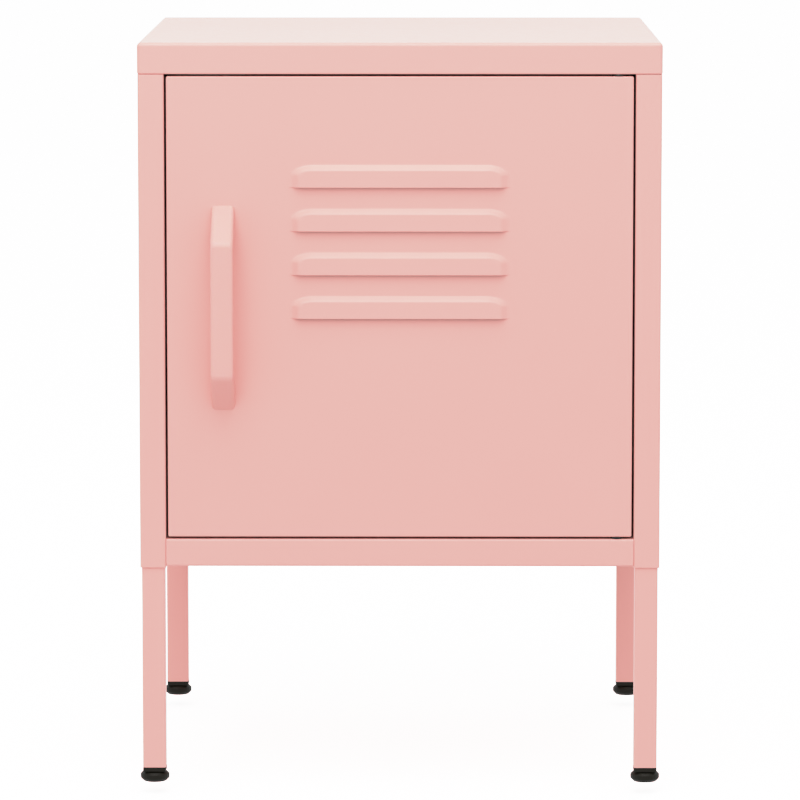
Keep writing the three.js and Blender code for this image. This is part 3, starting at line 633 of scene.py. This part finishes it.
def thread_tree():
    """A stud: a core, and a ridge that winds round it."""
    tree, start, end = node_tree(
        "thread",
        {"Radius": "Float", "Depth": "Float", "Pitch": "Float", "Length": "Float"}
        | {"Foot": "Vector", "Material": "Material"},
    )
    size = start.outputs
    ridge_half = math_node(tree, "MULTIPLY", size["Depth"], 0.5)
    core_radius = math_node(tree, "SUBTRACT", size["Radius"], size["Depth"])
    ridge_radius = math_node(tree, "SUBTRACT", size["Radius"], ridge_half)
    turns = math_node(tree, "DIVIDE", size["Length"], size["Pitch"])
    spiral = add_node(
        tree,
        "GeometryNodeCurveSpiral",
        {"Resolution": 32, "Rotations": turns, "Start Radius": ridge_radius}
        | {"End Radius": ridge_radius, "Height": size["Length"]},
    )
    ridge = add_node(
        tree,
        "GeometryNodeCurvePrimitiveCircle",
        {"Resolution": 4, "Radius": ridge_half},
    )
    wound = add_node(
        tree,
        "GeometryNodeCurveToMesh",
        {"Curve": spiral.outputs["Curve"], "Profile Curve": ridge.outputs["Curve"]}
        | {"Fill Caps": True},
    )
    core = add_node(
        tree,
        "GeometryNodeMeshCylinder",
        {"Vertices": 48, "Radius": core_radius, "Depth": size["Length"]},
    )
    half_length = math_node(tree, "MULTIPLY", size["Length"], 0.5)
    raised = add_node(tree, "ShaderNodeCombineXYZ", {"Z": half_length})
    core_up = add_node(
        tree,
        "GeometryNodeTransform",
        {"Geometry": core.outputs["Mesh"], "Translation": raised.outputs["Vector"]},
    )
    both = add_node(tree, "GeometryNodeJoinGeometry")
    tree.links.new(wound.outputs["Mesh"], both.inputs["Geometry"])
    tree.links.new(core_up.outputs["Geometry"], both.inputs["Geometry"])
    placed = add_node(
        tree,
        "GeometryNodeTransform",
        {"Geometry": both.outputs["Geometry"], "Translation": size["Foot"]},
    )
    end_tree(tree, placed.outputs["Geometry"], start, end)
    return tree


def turned(outline, x, y, sides, wave=None):
    """Faces turned round an upright axis from a closed or axis-to-axis outline of (radius, z).
    A wave changes a radius by the angle and the height."""
    rows = []
    for radius, z in outline:
        row = []
        for k in range(sides):
            angle = 2 * math.pi * k / sides
            r = radius + (wave(radius, z, angle) if wave else 0)
            row.append(Vector((x + r * math.cos(angle), y + r * math.sin(angle), z)))
        rows.append(row)
    return quads(rows, closed=True)


thread = thread_tree()
for corner in CORNERS:
    low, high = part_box(f"{corner}_foot_stud")
    x, y = (low.x + high.x) / 2, (low.y + high.y) / 2
    stud = mesh_piece(f"{corner}_stud", [])
    grow(
        stud,
        thread,
        Radius=(high.x - low.x) / 2,
        Depth=THREAD_DEPTH,
        Pitch=THREAD_PITCH,
        Length=high.z - low.z - 2 * STUD_END,
        Foot=(x, y, low.z + STUD_END),
        Material=zinc,
    )
    plain(stud)
    settle(stud, zinc, "zinc_plated_steel", f"{corner}_stud", f"{corner}_foot_stud")

    low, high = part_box(f"{corner}_foot_pad")
    radius = (high.x - low.x) / 2
    top = high.z - low.z
    profile = rounded(
        [(STUD_BORE, 0, SOCKET_FLOOR), (STUD_BORE, 0, top), (radius - 1.6 * MM, 0, top)]
        + [(radius, 0, top - 1.5 * MM), (radius, 0, 2.1 * MM), (radius - 2.2 * MM, 0, 0)]
        + [(0.4 * MM, 0, 0)],
        [0, 0.3 * MM, 1.0 * MM, 1.0 * MM, 1.6 * MM, 0.8 * MM, 0],
        5,
    )
    profile = [(ON_AXIS, SOCKET_FLOOR)] + [(p.x, p.z) for p in profile] + [(ON_AXIS, 0)]

    def flute(r, z, angle):
        """Shallow scallops round the rim that fade out towards the top and the floor."""
        if r < radius - 1.0 * MM:
            return 0
        fade = math.sin(math.pi * min(max(z / top, 0), 1))
        return -FLUTE_DEPTH * fade * (1 - math.cos(FLUTES * angle)) / 2

    pad = mesh_piece(
        f"{corner}_pad",
        turned([(r, z + low.z) for r, z in profile], x, y, PAD_SIDES, flute),
    )
    ease(pad, 0.1 * MM, 1)
    plain(pad)
    settle(pad, black, "black_plastic", f"{corner}_pad", f"{corner}_foot_pad")

# ------------------------------------------------------------------ hinge
# Two turned steel pins, one up through the floor tray and one down through the lid's rim, and a
# black nylon bush on each, pressed into the door. The lower bush carries the door.

PIN_RADIUS = 2.0 * MM
PIN_HEAD = 1.0 * MM
BUSH_LIP = 0.85 * MM
HINGE_SIDES = 48


def black_nylon():
    """Turned nylon, with a waxy sheen."""
    material, tree, main = shader("black_nylon", (0.013, 0.012, 0.011), 0.42)
    between(tree, noise(tree, 2 * MM, 2), 0.36, 0.5, main.inputs["Roughness"])
    relief(tree, noise(tree, 0.8 * MM, 2), 0.01 * MM, main)
    return material


nylon = black_nylon()

for height, way in (("upper", -1), ("lower", 1)):
    low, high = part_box(f"hinge_pin_{height}")
    x, y = (low.x + high.x) / 2, (low.y + high.y) / 2
    head_end, tip = (low.z, high.z) if way > 0 else (high.z, low.z)
    head = (high.x - low.x) / 2
    length = abs(tip - head_end)
    profile = [(ON_AXIS, 0), (head - 0.3 * MM, 0), (head, 0.3 * MM), (head, PIN_HEAD)]
    profile += [(PIN_RADIUS, PIN_HEAD), (PIN_RADIUS, length - 0.7 * MM)]
    profile += [(PIN_RADIUS - 0.6 * MM, length), (ON_AXIS, length)]
    outline = [(r, head_end + way * z) for r, z in profile]
    pin = mesh_piece(f"pin_{height}", turned(outline, x, y, HINGE_SIDES))
    ease(pin, 0.08 * MM)
    plain(pin)
    settle(pin, zinc, "zinc_plated_steel", "carcass", f"hinge_pin_{height}")

    low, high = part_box(f"hinge_bush_{height}")
    lip_end, tail = (low.z, high.z) if way > 0 else (high.z, low.z)
    lip = (high.x - low.x) / 2
    sleeve = lip - BUSH_LIP
    bore = PIN_RADIUS + 0.1 * MM
    door_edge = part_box("door_panel")[0 if way > 0 else 1].z
    lip_thick = abs(door_edge - lip_end) - 0.02 * MM
    length = abs(tail - lip_end)
    profile = [(bore, 0), (lip - 0.2 * MM, 0), (lip, 0.2 * MM), (lip, lip_thick), (sleeve, lip_thick)]
    profile += [(sleeve, length - 0.5 * MM), (sleeve - 0.4 * MM, length), (bore, length), (bore, 0)]
    outline = [(r, lip_end + way * z) for r, z in profile]
    bush = mesh_piece(f"bush_{height}", turned(outline, x, y, HINGE_SIDES))
    ease(bush, 0.06 * MM)
    plain(bush)
    settle(bush, nylon, "black_nylon", "door", f"hinge_bush_{height}")

# ------------------------------------------------------------------ door
# A pan of 0.8 mm sheet with its rim turned in. Four louvres are lanced along their lower edge and
# pressed out of the face, each one open below. Their ends fade into the sheet.

DOOR_RIM = 10 * MM
DOOR_FOLD = 1.0 * MM
LOUVRES = 4
LOUVRE_WIDTH = 148.5 * MM
LOUVRE_HEIGHT = 15.5 * MM
LOUVRE_PITCH = 29.3 * MM
LOUVRE_SHOULDER = 4.4 * MM
LOUVRE_STRETCH = 2.0  # how much gentler the ends are than the top
LOUVRE_CORNER = 8 * MM
LOUVRE_FIRST = 74.1 * MM  # from the door's top edge down to the first louvre's lower edge
FILLET = 0.12  # where the shoulder meets the sheet, as a share of the shoulder
END_FILLET = 0.5  # the same, at the ends
FIELD_MARGIN = 1.0 * MM  # flat sheet kept round the louvres
FINE = 0.4 * MM  # the mesh's step over a slope
COARSE = 15 * MM  # and along the straight
HAIR = 0.01 * MM


def louvre_tree():
    """Tears the sheet along each louvre's lower edge and presses out what lies above it."""
    tree, start, end = node_tree(
        "louvres",
        {"Count": "Int", "Width": "Float", "Height": "Float", "Pitch": "Float", "Depth": "Float"}
        | {"Shoulder": "Float", "Stretch": "Float", "Corner": "Float", "Lowest": "Float"}
        | {"Face": "Float", "Material": "Material"},
    )
    size = start.outputs

    def run(operation, *values):
        return math_node(tree, operation, *values)

    def louvre_place(point):
        """Distance in from the side, height above the lower edge, and 1 where a louvre may be."""
        parts = add_node(tree, "ShaderNodeSeparateXYZ", {"Vector": point}).outputs
        inside = run("SUBTRACT", run("MULTIPLY", size["Width"], 0.5), run("ABSOLUTE", parts["X"]))
        above = run("SUBTRACT", parts["Z"], size["Lowest"])
        row = run("FLOOR", run("DIVIDE", above, size["Pitch"]))
        height = run("SUBTRACT", above, run("MULTIPLY", row, size["Pitch"]))
        last = run("SUBTRACT", size["Count"], 0.5)
        in_rows = run("MULTIPLY", run("GREATER_THAN", row, -0.5), run("LESS_THAN", row, last))
        off_face = run("ABSOLUTE", run("SUBTRACT", parts["Y"], size["Face"]))
        on_face = run("LESS_THAN", off_face, HAIR)
        return inside, height, run("MULTIPLY", in_rows, on_face)

    here = add_node(tree, "GeometryNodeInputPosition").outputs["Position"]

    # An edge is torn where it lies along a lower edge. Its middle is raised a hair before rows
    # are counted, so that rounding can't put it in the row below.
    raised = add_node(tree, "ShaderNodeVectorMath", {0: here, 1: (0, 0, HAIR)}, operation="ADD")
    inside, height, may = louvre_place(raised.outputs["Vector"])
    at_edge = run("LESS_THAN", height, 2 * HAIR)
    along = run("MULTIPLY", at_edge, run("GREATER_THAN", inside, HAIR))
    torn = add_node(
        tree,
        "GeometryNodeSplitEdges",
        {"Mesh": size["Geometry"], "Selection": run("MULTIPLY", along, may)},
    )

    # Each point is judged a little towards the middle of its own faces, so that the two sides of
    # a tear, which start at one place, go their own ways.
    centre = add_node(
        tree, "GeometryNodeFieldOnDomain", {0: here}, data_type="FLOAT_VECTOR", domain="FACE"
    ).outputs[0]
    inwards = add_node(tree, "ShaderNodeVectorMath", {0: centre, 1: here}, operation="SUBTRACT")
    judged = add_node(
        tree,
        "ShaderNodeVectorMath",
        {0: inwards.outputs["Vector"], 1: (0.02, 0.02, 0.02), 2: here},
        operation="MULTIPLY_ADD",
    )
    inside, height, may = louvre_place(judged.outputs["Vector"])

    # The shoulder climbs from the outline inwards. Round the ends it is gentler, and it meets the
    # sheet in a longer fillet.
    below_top = run("SUBTRACT", size["Height"], height)
    squeezed = run("DIVIDE", inside, size["Stretch"])
    short_x = run("MAXIMUM", run("SUBTRACT", size["Corner"], squeezed), 0)
    short_z = run("MAXIMUM", run("SUBTRACT", size["Corner"], below_top), 0)
    square_x = run("MULTIPLY", short_x, short_x)
    beyond = run("SQRT", run("ADD", square_x, run("MULTIPLY", short_z, short_z)))
    depth_in = run("SUBTRACT", size["Corner"], beyond)
    endwards = run("DIVIDE", short_x, run("MAXIMUM", beyond, HAIR))
    fillet = run("MULTIPLY_ADD", endwards, END_FILLET - FILLET, FILLET)
    steeper = run("MULTIPLY_ADD", fillet, 2, 1)
    climb = run("MULTIPLY", run("DIVIDE", depth_in, size["Shoulder"]), steeper)
    share = run("SMOOTH_MAX", run("SUBTRACT", climb, fillet), 0, fillet)
    share = run("SMOOTH_MIN", share, 1, fillet)
    rise = run("MULTIPLY", run("MULTIPLY", share, may), run("MULTIPLY", size["Depth"], -1))
    push = add_node(tree, "ShaderNodeCombineXYZ", {"Y": rise})
    pressed = add_node(
        tree,
        "GeometryNodeSetPosition",
        {"Geometry": torn.outputs["Mesh"], "Offset": push.outputs["Vector"]},
    )
    end_tree(tree, pressed.outputs["Geometry"], start, end)
    return tree


def steps_between(first, last, size):
    """Even steps from first to last, each about the size given, without the last."""
    count = max(1, round((last - first) / size))
    return [first + (last - first) * k / count for k in range(count)]


low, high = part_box("door_panel")
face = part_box("floor_tray")[0].y
lowest = high.z - LOUVRE_FIRST - (LOUVRES - 1) * LOUVRE_PITCH
half = LOUVRE_WIDTH / 2
end_zone = LOUVRE_CORNER * LOUVRE_STRETCH + FIELD_MARGIN
columns = [-half - FIELD_MARGIN] + steps_between(-half, -half + end_zone, FINE)
columns += steps_between(-half + end_zone, half - end_zone, COARSE)
columns += steps_between(half - end_zone, half, FINE) + [half, half + FIELD_MARGIN]
rows = [lowest - FIELD_MARGIN]
for k in range(LOUVRES):
    edge = lowest + k * LOUVRE_PITCH
    rows += steps_between(edge, edge + LOUVRE_HEIGHT, FINE) + [edge + LOUVRE_HEIGHT]
rows.append(rows[-1] + FIELD_MARGIN)
field = quads([[Vector((x, z, 0)) for x in columns] for z in rows])

rims = (DOOR_RIM,) * 4
rings = pan_rings(low.x, high.x, low.z, high.z, high.y - face, rims, DOOR_FOLD, DOOR_FOLD)
edge_ring = rings[0]
quarter = len(edge_ring) // 4
# The face between the field and the folds is four flat pieces, split at the pan's corners.
mids = [quarter * k + quarter // 2 for k in range(4)]
bottom = [Vector((x, rows[0], 0)) for x in columns]
top = [Vector((x, rows[-1], 0)) for x in columns]
left = [Vector((columns[0], z, 0)) for z in rows]
right = [Vector((columns[-1], z, 0)) for z in rows]
sides = [
    edge_ring[mids[0] : mids[1] + 1] + bottom[::-1],
    edge_ring[mids[1] : mids[2] + 1] + right[::-1],
    edge_ring[mids[2] : mids[3] + 1] + top,
    edge_ring[mids[3] :] + edge_ring[: mids[0] + 1] + left,
]
skin = quads(rings, closed=True) + field + sides
skin = [[Vector((p.x, face + p.z, p.y)) for p in polygon] for polygon in skin]
door = mesh_piece("door_pan", skin, (0, -1, 0))
grow(
    door,
    louvre_tree(),
    Count=LOUVRES,
    Width=LOUVRE_WIDTH,
    Height=LOUVRE_HEIGHT,
    Pitch=LOUVRE_PITCH,
    Depth=face - low.y,
    Shoulder=LOUVRE_SHOULDER,
    Stretch=LOUVRE_STRETCH,
    Corner=LOUVRE_CORNER,
    Lowest=lowest,
    Face=face,
    Material=pink_paint,
)
thicken(door)
ease(door, EDGE, angle=60)
plain(door)
settle(door, pink_paint, "pink_powder_coat", "door", "door_panel")

# ------------------------------------------------------------------ handle
# A bow handle moulded in pink plastic to match the door: a flat grip, two sloping arms, and soft
# edges all round. Two screws from inside the door hold it.

HANDLE_FLAT = 90.5 * MM
HANDLE_THICKNESS = 7.2 * MM
HANDLE_FOOT = 17 * MM
HANDLE_OUTER_BEND = 6.5 * MM
HANDLE_INNER_BEND = 5 * MM
HANDLE_FRONT_EDGE = 2.6 * MM
HANDLE_BACK_EDGE = 1.8 * MM
HANDLE_BEND_STEPS = 10
HANDLE_EDGE_STEPS = 5
ARM_STEPS = 6


def pink_plastic():
    """Moulded plastic in the door's colour, a shade softer, with a fine even grain."""
    material, tree, main = shader(
        "pink_plastic", PINK, 0.45, Subsurface_Weight=0.05, Subsurface_Scale=0.001
    )
    darker = tuple(c * 0.985 for c in PINK)
    between(tree, noise(tree, 40 * MM), darker, PINK, main.inputs["Base Color"])
    between(tree, noise(tree, 2 * MM, 2), 0.4, 0.5, main.inputs["Roughness"])
    relief(tree, noise(tree, 0.3 * MM, 2), 0.008 * MM, main)
    return material


def spread(line, count):
    """Points spaced evenly along a line."""
    lengths = [0]
    for a, b in zip(line, line[1:]):
        lengths.append(lengths[-1] + (b - a).length)
    result = []
    for k in range(count + 1):
        target = lengths[-1] * k / count
        i = max(n for n in range(len(line) - 1) if lengths[n] <= target + 1e-12)
        share = (target - lengths[i]) / max(lengths[i + 1] - lengths[i], 1e-12)
        result.append(line[i].lerp(line[i + 1], min(share, 1)))
    return result


low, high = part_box("door_handle")
middle = (low.z + high.z) / 2
x = (low.x + high.x) / 2
end = (high.z - low.z) / 2
flat = HANDLE_FLAT / 2
reach = high.y - low.y
inner_reach = reach - HANDLE_THICKNESS
outer_corners = [(0, 0, end), (0, -reach, flat), (0, -reach, 0)]
inner_flat = flat - HANDLE_THICKNESS
inner_corners = [(0, 0, end - HANDLE_FOOT), (0, -inner_reach, inner_flat), (0, -inner_reach, 0)]
outer_line = rounded(outer_corners, HANDLE_OUTER_BEND, HANDLE_BEND_STEPS)
inner_line = rounded(inner_corners, HANDLE_INNER_BEND, HANDLE_BEND_STEPS)
arm_out = spread(outer_line[:2], ARM_STEPS) + outer_line[2:]
arm_in = spread(inner_line[:2], ARM_STEPS) + inner_line[2:]
arm_out += [Vector((0, p.y, -p.z)) for p in arm_out[-2::-1]]
arm_in += [Vector((0, p.y, -p.z)) for p in arm_in[-2::-1]]
half_width = (high.x - low.x) / 2
rings = []
for outside, inside in zip(arm_out, arm_in):
    thickness = (outside - inside).length
    edges = [HANDLE_BACK_EDGE] * 2 + [HANDLE_FRONT_EDGE] * 2
    outline = rectangle(-half_width, half_width, 0, thickness, edges, HANDLE_EDGE_STEPS)
    outwards = (outside - inside).normalized()
    rings.append([Vector((x + p.x, high.y, middle)) + inside + outwards * p.y for p in outline])
bow = mesh_piece("handle_bow", quads(rings, closed=True) + [rings[0], rings[-1]])
ease(bow, 0.25 * MM, angle=60)
plain(bow)
settle(bow, pink_plastic(), "pink_plastic", "door", "door_handle")

# ------------------------------------------------------------------ catch
# A magnetic catch screwed up under the lid's front rim: a moulded housing with two ears, and in
# its mouth a ferrite magnet between two steel pole plates, which the door's rim meets.

CATCH_EASE = 0.8 * MM
CATCH_AIR = 0.15 * MM  # gap round the plates
MOUTH_CORNER = 0.3 * MM
EAR = 9 * MM
EAR_THICKNESS = 3 * MM
EAR_INSET = 1.0 * MM


def catch_plastic():
    """Light grey moulded plastic."""
    material, tree, main = shader("grey_plastic", (0.69, 0.67, 0.62), 0.5)
    relief(tree, noise(tree, 0.3 * MM, 2), 0.01 * MM, main)
    return material


def ferrite():
    """Sintered ferrite: dark, dull and slightly grainy."""
    material, tree, main = shader("ferrite", (0.042, 0.042, 0.045), 0.65)
    grains = noise(tree, 0.6 * MM, 3)
    between(tree, grains, (0.03, 0.03, 0.032), (0.06, 0.06, 0.064), main.inputs["Base Color"])
    relief(tree, noise(tree, 0.4 * MM, 3), 0.03 * MM, main)
    return material


def block_faces(low, high):
    """The six faces of a box."""
    corners = ((low.x, low.y), (high.x, low.y), (high.x, high.y), (low.x, high.y))
    rows = [[Vector((x, y, z)) for x, y in corners] for z in (low.z, high.z)]
    return quads(rows, closed=True) + rows


low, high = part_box("catch_housing")
mouth_low, mouth_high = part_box("catch_lower_pole")
mouth_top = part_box("catch_upper_pole")[1].z


def front_ring(left, right, down, up, corner, y):
    """A ring with rounded corners that faces the door."""
    return [Vector((p.x, y, p.y)) for p in rectangle(left, right, down, up, corner, 3)]


mouth_low -= Vector((CATCH_AIR, 0, CATCH_AIR))
mouth_high += Vector((CATCH_AIR, CATCH_AIR, 0))
pocket = (mouth_low.x, mouth_high.x, mouth_low.z, mouth_top + CATCH_AIR)
outside = (low.x + EAR, high.x - EAR, low.z, high.z)
rings = [
    front_ring(*outside, CATCH_EASE, high.y),
    front_ring(*outside, CATCH_EASE, low.y),
    front_ring(*pocket, MOUTH_CORNER, low.y),
    front_ring(*pocket, MOUTH_CORNER, mouth_high.y),
]
housing_faces = quads(rings, closed=True) + [rings[0], rings[-1]]
for ear_x in ((low.x, low.x + EAR), (high.x - EAR, high.x)):
    ear_low = Vector((ear_x[0], low.y + EAR_INSET, high.z - EAR_THICKNESS))
    ear_high = Vector((ear_x[1], high.y - EAR_INSET, high.z))
    housing_faces += block_faces(ear_low, ear_high)
housing = mesh_piece("catch_body", housing_faces)
ease(housing, 0.35 * MM, 3)
plain(housing)
settle(housing, catch_plastic(), "grey_plastic", "carcass", "catch_housing")

for name, node, material, slot in (
    ("magnet", "catch_magnet", ferrite(), "ferrite"),
    ("pole_lower", "catch_lower_pole", zinc, "zinc_plated_steel"),
    ("pole_upper", "catch_upper_pole", zinc, "zinc_plated_steel"),
):
    plate = mesh_piece(name, block_faces(*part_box(node)))
    ease(plate, 0.15 * MM)
    plain(plate)
    settle(plate, material, slot, "carcass", node)

# ------------------------------------------------------------------ screws
# M4 pan-head screws with a cross recess, zinc plated. Each one sits where its hole is, with its
# head on the sheet. The handle's two go with the door.

SCREW_RADIUS = 2.0 * MM
SCREW_HEAD_RADIUS = 3.6 * MM
SCREW_HEAD = 2.2 * MM
SCREW_PITCH = 0.7 * MM
SCREW_THREAD = 0.35 * MM
SCREW_SIDES = 24
SCREW_LEAD = 0.2 * MM  # plain shank under the head
SCREW_TIP = 0.7 * MM
THREAD_STEPS = 4  # rings of the mesh for each turn of the thread
RECESS_ARM = 2.1 * MM
RECESS_WIDTH = 0.75 * MM
RECESS_DEPTH = 1.5 * MM


def screw_shape(length):
    """A screw along +Z, with its head below the origin."""
    head = rounded(
        [(ON_AXIS, 0, -SCREW_HEAD), (SCREW_HEAD_RADIUS * 0.72, 0, -SCREW_HEAD)]
        + [(SCREW_HEAD_RADIUS, 0, -SCREW_HEAD * 0.45), (SCREW_HEAD_RADIUS, 0, 0)]
        + [(SCREW_RADIUS, 0, 0)],
        [0, 1.0 * MM, 0.9 * MM, 0.15 * MM, 0],
        4,
    )
    profile = [(p.x, p.z) for p in head]
    step = SCREW_PITCH / THREAD_STEPS
    profile += [(SCREW_RADIUS, SCREW_LEAD + k * step) for k in range(round(length / step) - 2)]
    profile += [(SCREW_RADIUS - SCREW_TIP, length), (ON_AXIS, length)]

    def winding(radius, z, angle):
        """The thread: a ridge that climbs one pitch for each turn."""
        if z <= 0 or radius < SCREW_RADIUS - 0.1 * MM:
            return 0
        phase = (z / SCREW_PITCH - angle / (2 * math.pi)) % 1
        return -SCREW_THREAD * abs(2 * phase - 1)

    screw = mesh_piece("screw", turned(profile, 0, 0, SCREW_SIDES, winding))
    arm = RECESS_ARM
    wide = RECESS_WIDTH / 2
    cross = [(arm, -wide), (arm, wide), (wide, wide), (wide, arm), (-wide, arm), (-wide, wide)]
    cross += [(-arm, wide), (-arm, -wide), (-wide, -wide), (-wide, -arm), (wide, -arm), (wide, -wide)]
    taper = ((1.15, -SCREW_HEAD - 0.5 * MM), (1.0, -SCREW_HEAD), (0.55, RECESS_DEPTH - SCREW_HEAD))
    rows = [[Vector((x * s, y * s, z)) for x, y in cross] for s, z in taper]
    cutter = mesh_piece("recess", quads(rows, closed=True) + [rows[0], rows[-1]])
    cut = screw.modifiers.new("recess", "BOOLEAN")
    cut.object = cutter
    cut.solver = "EXACT"
    plain(screw)
    bpy.data.objects.remove(cutter)
    screw.data.polygons.foreach_set("use_smooth", [True] * len(screw.data.polygons))
    screw.data.set_sharp_from_angle(angle=math.radians(35))
    return screw


def screws_tree():
    """Puts a screw on each point, pointing the way that the point says."""
    tree, start, end = node_tree("screws", {"Screw": "Object", "Material": "Material"})
    shape = add_node(tree, "GeometryNodeObjectInfo", {"Object": start.outputs["Screw"]})
    way = add_node(
        tree, "GeometryNodeInputNamedAttribute", {"Name": "way"}, data_type="FLOAT_VECTOR"
    )
    turn = add_node(
        tree, "FunctionNodeAlignRotationToVector", {"Vector": way.outputs["Attribute"]}, axis="Z"
    )
    placed = add_node(
        tree,
        "GeometryNodeInstanceOnPoints",
        {"Points": start.outputs["Geometry"], "Instance": shape.outputs["Geometry"]}
        | {"Rotation": turn.outputs["Rotation"]},
    )
    end_tree(tree, placed.outputs["Instances"], start, end)
    return tree


# Which way each screw's tip points, by the first word of its node's name.
SCREW_WAYS = {
    "front": (0, -1, 0),
    "rear": (0, 1, 0),
    "lid": (0, 0, 1),
    "floor": (0, 0, 1),
    "back": (0, -1, 0),
    "catch": (0, 0, 1),
    "handle": (0, -1, 0),
}
screws = screws_tree()
screw_nodes = [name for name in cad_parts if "screw" in name]

for name, body in (("carcass_screws", "carcass"), ("handle_screws", "door")):
    nodes = [node for node in screw_nodes if node.startswith("handle") == (body == "door")]
    seats = []
    ways = []
    for node in nodes:
        low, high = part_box(node)
        way = Vector(SCREW_WAYS[node.split("_")[0]])
        whole = abs((high - low).dot(way))
        head_end = (low + high) / 2 - way * (whole / 2)
        seats.append(head_end + way * SCREW_HEAD)
        ways.append(way)
    cluster = mesh_piece(name, [])
    cluster.data.from_pydata(seats, [], [])
    attribute = cluster.data.attributes.new("way", "FLOAT_VECTOR", "POINT")
    attribute.data.foreach_set("vector", [c for way in ways for c in way])
    shape = screw_shape(whole - SCREW_HEAD)  # a cluster's screws are all of one length
    grow(cluster, screws, Screw=shape, Material=zinc)
    plain(cluster)
    bpy.data.objects.remove(shape)
    settle(cluster, zinc, "zinc_plated_steel", body, *nodes)
